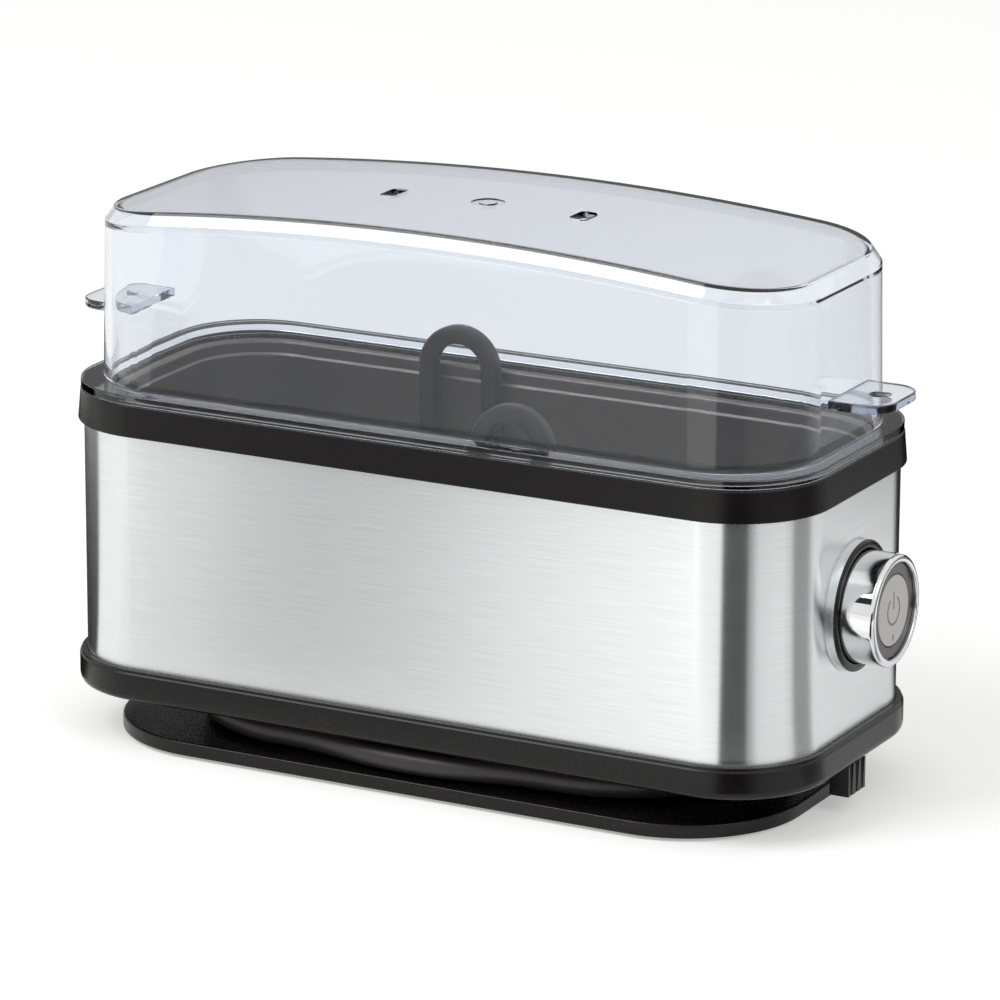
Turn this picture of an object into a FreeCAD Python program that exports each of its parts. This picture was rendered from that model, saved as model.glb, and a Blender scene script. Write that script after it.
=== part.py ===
import FreeCAD, Part
import math
import os
import re

import Sketcher

# Egg cooker: clear lid, lift-out rack, boiling pan in a steel case, push button and cord store.
# Millimetres, +Z up, origin on the table under the middle of the case, button at +X, front at -Y.

doc = FreeCAD.newDocument("egg_cooker")
dims = doc.addObject("Spreadsheet::Sheet", "dims")

# Driving dimensions
SIZES = {
    # case
    "body_length": 200.0,
    "body_width": 85.0,
    "body_corner": 23.0,
    "steel_wall": 0.8,
    "steel_tuck": 3.5,
    "fit_gap": 0.15,
    "run_gap": 0.3,
    # foot plate and cord store
    "pad_stand": 0.8,
    "pad_sink": 1.2,
    "pad_diameter": 14.0,
    "pad_setback_ends": 30.25,
    "pad_setback_sides": 14.5,
    "plate_setback": 7.75,
    "plate_corner": 31.0,
    "plate_thickness": 3.5,
    "plate_edge": 1.2,
    "core_setback_ends": 30.25,
    "core_setback_sides": 20.5,
    "core_wall": 2.5,
    "core_floor": 2.6,
    "cord_headroom": 1.4,
    # base tray
    "base_overhang": 2.0,
    "base_lip": 8.2,
    "base_floor": 2.7,
    "base_rim_wall": 1.6,
    "base_rim_rise": 4.0,
    "base_edge": 2.2,
    "lip_edge": 0.6,
    # case screws, their bosses and posts
    "post_diameter": 6.5,
    "post_gap": 0.4,
    "boss_rise": 14.0,
    "screw_diameter": 2.8,
    "screw_slack": 0.2,
    "screw_tip_gap": 0.5,
    "screw_head_diameter": 5.4,
    "screw_head_height": 2.0,
    "screw_grip": 12.0,
    # foot screws
    "foot_screw_setback": 12.0,
    "foot_screw_across": 8.0,
    "foot_boss_rise": 7.0,
    "pilot_roof": 1.0,
    # top collar
    "collar_overhang": 1.5,
    "collar_height": 8.0,
    "collar_taper": 5.0,
    "collar_edge": 0.6,
    "collar_bore_depth": 3.0,
    # lid
    "lid_inset_ends": 3.0,
    "lid_inset_sides": 3.7,
    "lid_round": 1.2,
    "lid_wall": 1.8,
    "lid_draft": 1.0,
    "lid_height": 50.8,
    "lid_arch": 760.0,
    "lid_bevel": 2.7,
    "lid_skirt": 2.2,
    "flange_inset": 0.8,
    "flange_thickness": 2.3,
    "tab_reach": 11.5,
    "tab_width": 23.0,
    "tab_corner": 7.0,
    "tab_rise": 15.9,
    "tab_thickness": 2.2,
    "tab_dimple": 6.0,
    "tab_dimple_depth": 1.0,
    "tab_dimple_inset": 6.5,
    "vent_along": 26.0,
    "vent_length": 8.4,
    "vent_width": 4.6,
    "vent_corner": 1.6,
    # boiling pan and its gasket
    "rim_gap": 0.5,
    "pan_wall": 1.0,
    "pan_rim": 2.2,
    "pan_step": 3.2,
    "pan_step_depth": 18.4,
    "pan_depth": 27.9,
    "gasket_thickness": 1.2,
    # rack
    "rack_thickness": 2.0,
    "cup_pitch": 49.5,
    "cup_bore": 34.0,
    "loop_along": 23.7,
    "loop_setback": 0.4,
    "loop_radius": 11.1,
    "loop_bar": 4.6,
    "loop_depth": 4.0,
    "loop_rise": 27.6,
    # heater
    "heater_setback_ends": 24.0,
    "heater_setback_sides": 8.3,
    "heater_end_flat": 2.8,
    "heater_thickness": 3.0,
    "element_diameter": 6.5,
    "element_spread": 14.0,
    "element_setback": 25.0,
    "element_end_setback": 13.0,
    "contact_gap": 0.1,
    "bush_length": 4.0,
    "pin_diameter": 3.0,
    "pin_length": 7.0,
    "stud_along": 32.0,
    "stud_diameter": 4.0,
    "stud_slack": 0.3,
    "nut_radius": 4.0,
    "nut_height": 3.0,
    "bracket_length": 34.0,
    "bracket_width": 18.0,
    "bracket_thickness": 1.0,
    "bracket_screw_along": 13.0,
    "bracket_grip": 2.0,
    "sensor_diameter": 11.6,
    "thermostat_diameter": 16.0,
    "thermostat_height": 8.5,
    "fuse_stand_off": 5.3,
    "fuse_diameter": 4.0,
    "fuse_length": 13.0,
    # push button
    "button_rise": 31.0,
    "bezel_wall": 1.0,
    "bezel_lip": 1.0,
    "bezel_stand": 1.8,
    "bezel_tail": 5.0,
    "cap_diameter": 27.4,
    "cap_stand": 10.6,
    "cap_depth": 15.6,
    "cap_wall": 1.3,
    "cap_web": 2.2,
    "cap_edge": 0.7,
    "cap_rim": 1.9,
    "recess_depth": 1.4,
    "ring_width": 2.7,
    "ring_thickness": 1.0,
    "face_thickness": 1.2,
    "stem_diameter": 7.0,
    "stem_slack": 0.6,
    "stem_length": 23.0,
    "press_travel": 3.0,
    # switch, lamp and return spring
    "switch_front": 12.0,
    "switch_cover": 1.4,
    "switch_headroom": 1.5,
    "switch_length": 18.0,
    "switch_width": 18.0,
    "switch_height": 11.5,
    "shelf_thickness": 2.0,
    "shelf_margin": 1.0,
    "web_thickness": 3.0,
    "board_thickness": 1.2,
    "board_width": 20.0,
    "lamp_diameter": 3.0,
    "lamp_length": 3.6,
    "lamp_offset": 8.4,
    "spring_room": 1.7,
    "spring_wire": 0.9,
    "spring_turns": 5.0,
    "spring_end_gap": 0.2,
    # terminal block
    "block_setback": 67.0,
    "block_across": 11.0,
    "block_length": 22.0,
    "block_width": 12.0,
    "block_height": 10.0,
    "block_rise": 6.0,
    "block_rib": 4.0,
    # cord, gland and cord stop
    "cord_diameter": 6.0,
    "cord_lift": 0.6,
    "cord_gap": 0.8,
    "winding_gap": 0.6,
    "winding_slack": 1.0,
    "winding_bow": 11.5,
    "cord_hole_slack": 0.6,
    "lead_diameter": 2.2,
    "lead_spread": 3.4,
    "gland_lead": 5.0,
    "gland_length": 9.0,
    "boot_length": 20.0,
    "boot_wall": 0.5,
    "boot_lip": 0.2,
    "stop_width": 9.6,
    "stop_depth": 5.0,
    "stop_height": 7.8,
    "stop_inset": 0.9,
    "flute_top": 2.2,
    "flute_bottom": 0.8,
    "flute_pitch": 3.1,
    # mains plug
    "plug_tilt": 14.8,
    "plug_boot": 20.0,
    "plug_boot_tip": 8.0,
    "plug_grip_start": 13.0,
    "plug_grip": 20.0,
    "plug_grip_end": 26.0,
    "plug_disc": 37.0,
    "plug_disc_depth": 14.0,
    "plug_pin_diameter": 4.8,
    "plug_pin_length": 19.0,
    "plug_pin_pitch": 19.0,
    "earth_width": 6.0,
    "earth_depth": 1.2,
}

for row, (alias, value) in enumerate(SIZES.items(), start=1):
    dims.set(f"A{row}", alias)
    dims.set(f"B{row}", str(value))
    dims.setAlias(f"B{row}", alias)
doc.recompute()


def bound(text):
    """The expression with each size's name pointed at its cell."""

    def cell(word):
        return "dims." + word.group() if word.group() in SIZES else word.group()

    return re.sub(r"[a-z_]+", cell, text)


def size(text):
    """The expression's value, for a starting shape or a piece made from lines and arcs."""
    return float(dims.evalExpression(bound(text)))


# How far a cutting tool reaches past the face that it opens
PAST = 1.0

# Levels, from the table up
PLATE_TOP = "(pad_stand + plate_thickness)"
CORD_SPACE = "(cord_lift + cord_diameter + cord_headroom)"
CORD_AXIS = f"({PLATE_TOP} + cord_lift + cord_diameter / 2)"
BASE_BOTTOM = f"({PLATE_TOP} + {CORD_SPACE})"
BASE_FLOOR_TOP = f"({BASE_BOTTOM} + base_floor)"
BOSS_TOP = f"({BASE_FLOOR_TOP} + boss_rise)"
BLOCK_BOTTOM = f"({BASE_FLOOR_TOP} + block_rise)"
STEEL_LOW = f"({BASE_BOTTOM} + base_lip)"
BUTTON_AXIS = f"({STEEL_LOW} + button_rise)"
SWITCH_TOP = f"({BUTTON_AXIS} + stem_diameter / 2 + stem_slack + switch_cover)"
SWITCH_BOTTOM = f"({SWITCH_TOP} - switch_height)"
PAN_UNDER = f"({SWITCH_TOP} + switch_headroom)"
HEATER_UNDER = f"({PAN_UNDER} - heater_thickness)"
ELEMENT_AXIS = f"({HEATER_UNDER} - contact_gap - element_diameter / 2)"
BRACKET_UNDER = f"({HEATER_UNDER} - bracket_thickness)"
PAN_FLOOR = f"({PAN_UNDER} + pan_wall)"
RIM_TOP = f"({PAN_FLOOR} + pan_depth)"
PAN_STEP = f"({RIM_TOP} - pan_step_depth)"
RIM_BOTTOM = f"({RIM_TOP} - pan_wall)"
LEDGE = f"({RIM_BOTTOM} - gasket_thickness)"
COLLAR_TOP = f"({LEDGE} + collar_bore_depth)"
STEEL_HIGH = f"({COLLAR_TOP} - collar_height)"
LID_TOP = f"({COLLAR_TOP} + lid_height)"

# Places along and across
BODY_END = "(body_length / 2)"
CAP_FACE = f"({BODY_END} + cap_stand)"
CAP_BACK = f"({CAP_FACE} - cap_depth)"
RECESS_FLOOR = f"({CAP_FACE} - recess_depth)"
WEB_BACK = f"({RECESS_FLOOR} - cap_web)"
SWITCH_FACE = f"({BODY_END} - switch_front)"
BOARD_FACE = f"({SWITCH_FACE} + board_thickness)"
BLOCK_X = f"({BODY_END} - block_setback)"
CORNER_REACH = "(body_corner - steel_wall - post_gap - post_diameter / 2) * sqrt(0.5)"
POST_X = f"(body_length / 2 - body_corner + {CORNER_REACH})"
POST_Y = f"(body_width / 2 - body_corner + {CORNER_REACH})"
PLATE_LENGTH = "(body_length - 2 * plate_setback)"
PLATE_WIDTH = "(body_width + 2 * base_overhang)"
PAD_X = f"({PLATE_LENGTH} / 2 - pad_setback_ends)"
PAD_Y = f"({PLATE_WIDTH} / 2 - pad_setback_sides)"
CORE_LENGTH = f"({PLATE_LENGTH} - 2 * core_setback_ends)"
CORE_WIDTH = f"({PLATE_WIDTH} - 2 * core_setback_sides)"
FOOT_SCREW_X = f"({CORE_LENGTH} / 2 - foot_screw_setback)"
BOOT_ROOT = "(cord_diameter + 2 * boot_wall)"
REAR_FIRST = f"({CORE_WIDTH} / 2 + winding_gap + cord_diameter / 2)"
GLAND_START = f"({BLOCK_X} - gland_lead)"
GLAND_INSIDE = f"({CORE_WIDTH} / 2 - core_wall)"
GLAND_WIDTH = f"({REAR_FIRST} + {BOOT_ROOT} / 2 - {GLAND_INSIDE})"

pieces = []


def node(shape_object, name):
    """Register a finished sub-part under its own name."""
    shape_object.Label = name
    pieces.append(shape_object)
    return shape_object


# Sketched bodies


def new_body(name):
    return doc.addObject("PartDesign::Body", name + "_body")


def sketch_in(body, name, role="XY_Plane", offset="0"):
    sketch = body.newObject("Sketcher::SketchObject", name)
    support = next(plane for plane in body.Origin.OriginFeatures if plane.Role == role)
    sketch.AttachmentSupport = (support, [""])
    sketch.MapMode = "FlatFace"
    sketch.setExpression("AttachmentOffset.Base.z", bound(offset))
    return sketch


def draw_outline(sketch, tag, length, width, corner):
    """A rounded rectangle about the sketch's origin, with its three sizes bound to the sheet."""
    x, y, r = size(length) / 2, size(width) / 2, size(corner)
    up = FreeCAD.Vector(0, 0, 1)
    first = sketch.GeometryCount
    ends = [
        ((-x + r, -y), (x - r, -y)),
        ((x, -y + r), (x, y - r)),
        ((x - r, y), (-x + r, y)),
        ((-x, y - r), (-x, -y + r)),
    ]
    centres = [(x - r, -y + r), (x - r, y - r), (-x + r, y - r), (-x + r, -y + r)]
    for (x0, y0), (x1, y1) in ends:
        sketch.addGeometry(Part.LineSegment(FreeCAD.Vector(x0, y0, 0), FreeCAD.Vector(x1, y1, 0)))
    for quarter, (cx, cy) in enumerate(centres, start=-1):
        circle = Part.Circle(FreeCAD.Vector(cx, cy, 0), up, r)
        sketch.addGeometry(Part.ArcOfCircle(circle, quarter * math.pi / 2, (quarter + 1) * math.pi / 2))
    lines = [first + side for side in range(4)]
    arcs = [first + 4 + side for side in range(4)]
    for side in range(4):
        sketch.addConstraint(Sketcher.Constraint("Tangent", lines[side], 2, arcs[side], 1))
        sketch.addConstraint(Sketcher.Constraint("Tangent", arcs[side], 2, lines[(side + 1) % 4], 1))
        flat = "Horizontal" if side % 2 == 0 else "Vertical"
        sketch.addConstraint(Sketcher.Constraint(flat, lines[side]))
    for arc in arcs[1:]:
        sketch.addConstraint(Sketcher.Constraint("Equal", arcs[0], arc))
    sketch.addConstraint(Sketcher.Constraint("Symmetric", arcs[0], 3, arcs[2], 3, -1, 1))
    drive = (
        ("length", length, Sketcher.Constraint("DistanceX", lines[3], 1, lines[1], 1, 2 * x)),
        ("width", width, Sketcher.Constraint("DistanceY", lines[0], 1, lines[2], 1, 2 * y)),
        ("corner", corner, Sketcher.Constraint("Radius", arcs[0], r)),
    )
    for kind, text, constraint in drive:
        index = sketch.addConstraint(constraint)
        sketch.renameConstraint(index, f"{tag}_{kind}")
        sketch.setExpression(f"Constraints.{tag}_{kind}", bound(text))


def outline_sketch(body, name, outlines, level):
    sketch = sketch_in(body, name + "_outline", offset=level)
    for number, outline in enumerate(outlines):
        draw_outline(sketch, f"line{number}", *outline)
    return sketch


def pad(body, name, outlines, bottom, height, draft=None):
    """Raise one outline, or the ring between two, from the level given."""
    feature = body.newObject("PartDesign::Pad", name)
    feature.Profile = outline_sketch(body, name, outlines, bottom)
    feature.setExpression("Length", bound(height))
    if draft:
        feature.setExpression("TaperAngle", bound("-" + draft))
    doc.recompute()
    return feature


def pocket(body, name, outlines, top, depth):
    """Sink one outline, or the ring between two, below the level given."""
    before = body.Shape.Volume
    feature = body.newObject("PartDesign::Pocket", name)
    feature.Profile = outline_sketch(body, name, outlines, top)
    feature.setExpression("Length", bound(depth))
    doc.recompute()
    if not body.Shape.Volume < before:
        raise RuntimeError(f"{name} cut nothing")
    return feature


def dress(body, kind, name, radius, wanted):
    """Fillet or chamfer the edges of the body's last feature that pass the test."""
    base = body.Tip
    edges = [f"Edge{i}" for i, edge in enumerate(base.Shape.Edges, start=1) if wanted(edge)]
    feature = body.newObject("PartDesign::" + kind, name)
    feature.Base = (base, edges)
    feature.setExpression("Size" if kind == "Chamfer" else "Radius", bound(radius))
    doc.recompute()
    return feature


def flat_at(level):
    """A test for edges that lie wholly at one level."""
    height = size(level)

    def wanted(edge):
        box = edge.BoundBox
        return abs(box.ZMin - height) < 1e-4 and abs(box.ZMax - height) < 1e-4

    return wanted


# Primitives


def place(piece, **where):
    for axis, text in where.items():
        piece.setExpression(f"Placement.Base.{axis}", bound(text))
    return piece


def upright(name, diameter, bottom, height, x="0", y="0"):
    cylinder = doc.addObject("Part::Cylinder", name)
    cylinder.setExpression("Radius", bound(f"({diameter}) / 2"))
    cylinder.setExpression("Height", bound(height))
    return place(cylinder, x=x, y=y, z=bottom)


def along_x(name, diameter, start, length, y="0", z=BUTTON_AXIS):
    cylinder = doc.addObject("Part::Cylinder", name)
    cylinder.Placement.Rotation = FreeCAD.Rotation(FreeCAD.Vector(0, 1, 0), 90)
    cylinder.setExpression("Radius", bound(f"({diameter}) / 2"))
    cylinder.setExpression("Height", bound(length))
    return place(cylinder, x=start, y=y, z=z)


def cone_x(name, start_diameter, end_diameter, start, length, y="0", z="0", turn=90):
    cone = doc.addObject("Part::Cone", name)
    cone.Placement.Rotation = FreeCAD.Rotation(FreeCAD.Vector(0, 1, 0), turn)
    cone.setExpression("Radius1", bound(f"({start_diameter}) / 2"))
    cone.setExpression("Radius2", bound(f"({end_diameter}) / 2"))
    cone.setExpression("Height", bound(length))
    return place(cone, x=start, y=y, z=z)


def block(name, length, width, height, x, y, z):
    """A box given by its sizes and its lowest corner."""
    box = doc.addObject("Part::Box", name)
    for side, text in (("Length", length), ("Width", width), ("Height", height)):
        box.setExpression(side, bound(text))
    return place(box, x=x, y=y, z=z)


def group(kind, name, members):
    """A fuse of touching members, or a compound of separate ones."""
    joined = doc.addObject(kind, name)
    if kind == "Part::Compound":
        joined.Links = members
    else:
        joined.Shapes = members
    doc.recompute()
    return joined


def fuse(name, members):
    return group("Part::MultiFuse", name, members)


def separate(name, members):
    return group("Part::Compound", name, members)


def cut(name, base, tools):
    """The base with every tool taken out of it."""
    difference = doc.addObject("Part::Cut", name)
    difference.Base = base
    difference.Tool = tools[0] if len(tools) == 1 else separate(name + "_tools", tools)
    doc.recompute()
    if not difference.Shape.Volume < base.Shape.Volume:
        raise RuntimeError(f"{name} cut nothing")
    return difference


SIDES = (("left", "-1"), ("right", "1"))


def four_corners(name, make, x, y):
    """The same piece at the four corners of a rectangle."""
    return [
        make(f"{name}_{a}{b}", f"{sx} * {x}", f"{sy} * {y}")
        for a, sx in SIDES
        for b, sy in (("front", "-1"), ("rear", "1"))
    ]


# Outlines that nest in one another
BODY = ("body_length", "body_width", "body_corner")


def grown(outline, by):
    """An outline grown all round by the amount given, or shrunk where it is negative."""
    length, width, corner = outline
    return f"({length} + 2 * ({by}))", f"({width} + 2 * ({by}))", f"({corner} + ({by}))"


STEEL_INSIDE = grown(BODY, "-steel_wall")
PLATE = (PLATE_LENGTH, PLATE_WIDTH, "plate_corner")
CORE = (CORE_LENGTH, CORE_WIDTH, f"({CORE_WIDTH} / 2 - fit_gap)")
COLLAR = grown(BODY, "collar_overhang")
LID = (
    "(body_length - 2 * lid_inset_ends)",
    "(body_width - 2 * lid_inset_sides)",
    "(body_corner + lid_round)",
)
LID_INSIDE = grown(LID, "-lid_wall")
PAN_RIM = grown(LID_INSIDE, "-rim_gap")
PAN = grown(PAN_RIM, "-pan_rim")
PAN_LOW = grown(PAN, "-pan_step")
RACK = grown(PAN, "-pan_wall - run_gap")
HEATER_LENGTH = f"({PAN_LOW[0]} - 2 * heater_setback_ends)"
HEATER_WIDTH = f"({PAN_LOW[1]} - 2 * heater_setback_sides)"
HEATER = (HEATER_LENGTH, HEATER_WIDTH, f"({HEATER_WIDTH} / 2 - heater_end_flat)")

# Rubber feet: four discs pressed into the underside of the foot plate
feet = four_corners(
    "foot_pad", lambda name, x, y: upright(name, "pad_diameter", "0", "pad_stand + pad_sink", x, y),
    PAD_X, PAD_Y)
node(separate("rubber_feet", feet), "rubber_feet")

# Foot plate: moulded plate with the hollow core that the cord is wound round
body = new_body("foot_plate")
pad(body, "plate", [PLATE], "pad_stand", "plate_thickness")
dress(body, "Chamfer", "plate_under_edge", "plate_edge", flat_at("pad_stand"))
pad(body, "core", [CORE], PLATE_TOP, CORD_SPACE)
pocket(body, "core_hollow", [grown(CORE, "-core_wall")], BASE_BOTTOM,
       f"{BASE_BOTTOM} - pad_stand - core_floor")
core_posts = four_corners(
    "core_post", lambda name, x, y: upright(
        name, "post_diameter", "pad_stand", f"{BASE_BOTTOM} - pad_stand", x, y),
    FOOT_SCREW_X, "foot_screw_across")
pad_seats = four_corners(
    "pad_seat", lambda name, x, y: upright(
        name, "pad_diameter + 2 * fit_gap", "0", "pad_stand + pad_sink", x, y),
    PAD_X, PAD_Y)
foot_bores = four_corners(
    "foot_bore", lambda name, x, y: upright(
        name, "screw_diameter + 2 * screw_slack", "0", BASE_BOTTOM, x, y),
    FOOT_SCREW_X, "foot_screw_across")
head_seats = four_corners(
    "foot_head_seat", lambda name, x, y: upright(
        name, "screw_head_diameter + 2 * screw_slack", "0", "pad_stand + screw_head_height", x, y),
    FOOT_SCREW_X, "foot_screw_across")
gland_notch = block(
    "gland_notch", "gland_length + 2 * fit_gap", f"core_wall + 2 * {PAST}", CORD_SPACE,
    f"{GLAND_START} - fit_gap", f"{GLAND_INSIDE} - {PAST}", PLATE_TOP)
foot_plate = fuse("foot_plate_solid", [body] + core_posts)
node(cut("foot_plate", foot_plate, pad_seats + foot_bores + head_seats + [gland_notch]), "foot_plate")

# Base tray: lower black collar with the floor that carries the works and a groove for the steel shell
body = new_body("base_tray")
pad(body, "tray", [grown(BODY, "base_overhang")], BASE_BOTTOM, "base_lip")
dress(body, "Fillet", "tray_under_edge", "base_edge", flat_at(BASE_BOTTOM))
dress(body, "Chamfer", "tray_lip_edge", "lip_edge", flat_at(STEEL_LOW))
pad(body, "tray_rim", [grown(STEEL_INSIDE, "-fit_gap")], STEEL_LOW, "base_rim_rise")
pocket(body, "tray_hollow", [grown(STEEL_INSIDE, "-fit_gap - base_rim_wall")],
       f"{STEEL_LOW} + base_rim_rise", f"{STEEL_LOW} + base_rim_rise - {BASE_FLOOR_TOP}")
STEEL_GROOVE = [grown(BODY, "fit_gap"), grown(STEEL_INSIDE, "-fit_gap")]
pocket(body, "steel_groove", STEEL_GROOVE, STEEL_LOW, "steel_tuck")
bosses = four_corners(
    "case_boss", lambda name, x, y: upright(
        name, "post_diameter", BASE_BOTTOM, f"{BOSS_TOP} - {BASE_BOTTOM}", x, y), POST_X, POST_Y)
foot_bosses = four_corners(
    "foot_boss", lambda name, x, y: upright(
        name, "post_diameter", BASE_BOTTOM, "base_floor + foot_boss_rise", x, y),
    FOOT_SCREW_X, "foot_screw_across")
block_ribs = [
    block(f"block_rib_{side}", "block_rib", "block_width", "block_rise",
          f"{BLOCK_X} {sign} block_length / 2 {shift}", "block_across - block_width / 2", BASE_FLOOR_TOP)
    for side, sign, shift in (("left", "-", ""), ("right", "+", "- block_rib"))
]
case_bores = four_corners(
    "case_bore", lambda name, x, y: upright(
        name, "screw_diameter + 2 * screw_slack", "0", f"{BOSS_TOP} + {PAST}", x, y), POST_X, POST_Y)
case_head_seats = four_corners(
    "case_head_seat", lambda name, x, y: upright(
        name, "screw_head_diameter + 2 * screw_slack", "0", f"{BASE_BOTTOM} + screw_head_height", x, y),
    POST_X, POST_Y)
foot_pilots = four_corners(
    "foot_pilot", lambda name, x, y: upright(
        name, "screw_diameter + screw_slack", "0", f"{BASE_FLOOR_TOP} + foot_boss_rise - pilot_roof", x, y),
    FOOT_SCREW_X, "foot_screw_across")
stud_bores = [
    upright(f"stud_bore_{side}", "stud_diameter + 2 * stud_slack", "0", f"{BASE_FLOOR_TOP} + {PAST}",
            f"{sign} * stud_along")
    for side, sign in SIDES
]
cord_bore = upright("cord_bore", "cord_diameter + 2 * cord_hole_slack", "0", f"{BASE_FLOOR_TOP} + {PAST}",
                    BLOCK_X, "block_across")
base_tray = fuse("base_tray_solid", [body] + bosses + foot_bosses + block_ribs)
tray_cuts = case_bores + case_head_seats + foot_pilots + stud_bores + [cord_bore]
node(cut("base_tray", base_tray, tray_cuts), "base_tray")

# Steel shell: brushed sleeve seated in the grooves of the tray and the collar, with the button's hole
body = new_body("steel_shell")
pad(body, "sleeve", [BODY, STEEL_INSIDE], f"{STEEL_LOW} - steel_tuck",
    f"{STEEL_HIGH} - {STEEL_LOW} + 2 * steel_tuck")
BEZEL_BORE = "(cap_diameter + 2 * run_gap)"
BEZEL_SLEEVE = f"({BEZEL_BORE} + 2 * bezel_wall)"
button_hole = along_x("button_hole", f"{BEZEL_SLEEVE} + 2 * fit_gap", f"{BODY_END} - body_corner",
                      "2 * body_corner")
node(cut("steel_shell", body, [button_hole]), "steel_shell")

# Top collar: upper black ring with the pan's ledge and the long posts that the case screws pull down
body = new_body("top_collar")
pad(body, "ring", [COLLAR], STEEL_HIGH, "collar_height", draft="collar_taper")
dress(body, "Chamfer", "ring_top_edge", "collar_edge", flat_at(COLLAR_TOP))
pocket(body, "lid_seat", [grown(LID, "run_gap")], COLLAR_TOP, "collar_bore_depth")
pocket(body, "pan_opening", [grown(PAN, "run_gap")], COLLAR_TOP, "collar_height")
pocket(body, "collar_groove", STEEL_GROOVE, f"{STEEL_HIGH} + steel_tuck", "steel_tuck")
posts = four_corners(
    "case_post", lambda name, x, y: upright(
        name, "post_diameter", BOSS_TOP, f"{STEEL_HIGH} + steel_tuck - {BOSS_TOP}", x, y), POST_X, POST_Y)
pilots = four_corners(
    "case_pilot", lambda name, x, y: upright(
        name, "screw_diameter + screw_slack", f"{BOSS_TOP} - {PAST}",
        f"screw_grip + screw_tip_gap + {PAST}", x, y),
    POST_X, POST_Y)
node(cut("top_collar", fuse("top_collar_solid", [body] + posts), pilots), "top_collar")


# Case and foot screws: pan-head screws driven up from below
def screw(name, head_bottom, length, x, y):
    head = upright(name + "_head", "screw_head_diameter", head_bottom, "screw_head_height", x, y)
    shank = upright(name + "_shank", "screw_diameter", head_bottom, length, x, y)
    return fuse(name, [head, shank])


node(separate("case_screws", four_corners(
    "case_screw", lambda name, x, y: screw(
        name, BASE_BOTTOM, f"{BOSS_TOP} + screw_grip - {BASE_BOTTOM}", x, y), POST_X, POST_Y)), "case_screws")
FOOT_SCREW_TIP = f"({BASE_FLOOR_TOP} + foot_boss_rise - pilot_roof - screw_tip_gap)"
node(separate("foot_screws", four_corners(
    "foot_screw", lambda name, x, y: screw(name, "pad_stand", f"{FOOT_SCREW_TIP} - pad_stand", x, y),
    FOOT_SCREW_X, "foot_screw_across")), "foot_screws")

# Boiling pan: drawn aluminium with a rim that hangs on the gasket and a step that carries the rack
body = new_body("boiling_pan")
pad(body, "pan_bowl", [PAN_LOW], PAN_UNDER, f"{PAN_STEP} - {PAN_UNDER}")
pad(body, "pan_upper", [PAN], f"{PAN_STEP} - pan_wall", f"{RIM_TOP} - {PAN_STEP} + pan_wall")
pad(body, "pan_flange", [PAN_RIM], RIM_BOTTOM, "pan_wall")
pocket(body, "upper_hollow", [grown(PAN, "-pan_wall")], RIM_TOP, "pan_step_depth")
pocket(body, "bowl_hollow", [grown(PAN_LOW, "-pan_wall")], PAN_STEP, f"{PAN_STEP} - {PAN_FLOOR}")
node(body, "boiling_pan")

# Pan gasket: silicone ring between the collar's ledge and the pan's rim
body = new_body("pan_gasket")
pad(body, "gasket_ring", [PAN_RIM, grown(PAN, "run_gap")], LEDGE, "gasket_thickness")
node(body, "pan_gasket")

# Rack: plate with three bores, carried by the pan's step
body = new_body("egg_rack")
pad(body, "rack_plate", [RACK], PAN_STEP, "rack_thickness")
RACK_TOP = f"({PAN_STEP} + rack_thickness)"
CUPS = (("left", "-1"), ("middle", "0"), ("right", "1"))
cup_bores = [
    upright(f"cup_bore_{side}", "cup_bore", f"{PAN_STEP} - {PAST}", f"rack_thickness + 2 * {PAST}",
            f"{sign} * cup_pitch")
    for side, sign in CUPS
]
node(cut("egg_rack", body, cup_bores), "egg_rack")


# Rack loops: two finger loops that stand on the plate, set diagonally
def loop(name, sign):
    """Half ring on two legs, in line with the rack's long side."""
    x, across = f"{sign} * loop_along", f"({RACK[1]} / 2 - loop_setback - loop_depth / 2)"
    front = f"-1 * {sign} * {across} - loop_depth / 2"
    spring_line = f"({RACK_TOP} + loop_rise - loop_radius)"
    solids = []
    for part, radius in (("outer", "loop_radius"), ("inner", "(loop_radius - loop_bar)")):
        disc = doc.addObject("Part::Cylinder", f"{name}_{part}_disc")
        disc.Placement.Rotation = FreeCAD.Rotation(FreeCAD.Vector(1, 0, 0), 90)
        disc.Angle = 180
        disc.setExpression("Radius", bound(radius))
        disc.setExpression("Height", bound("loop_depth"))
        place(disc, x=x, y=f"{front} + loop_depth", z=spring_line)
        legs = block(f"{name}_{part}_legs", f"2 * {radius}", "loop_depth", f"{spring_line} - {RACK_TOP}",
                     f"{x} - {radius}", front, RACK_TOP)
        solids.append(fuse(f"{name}_{part}", [disc, legs]))
    return cut(name, solids[0], [solids[1]])


node(separate("rack_loops", [loop("front_loop", "1"), loop("rear_loop", "-1")]), "rack_loops")


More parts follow.
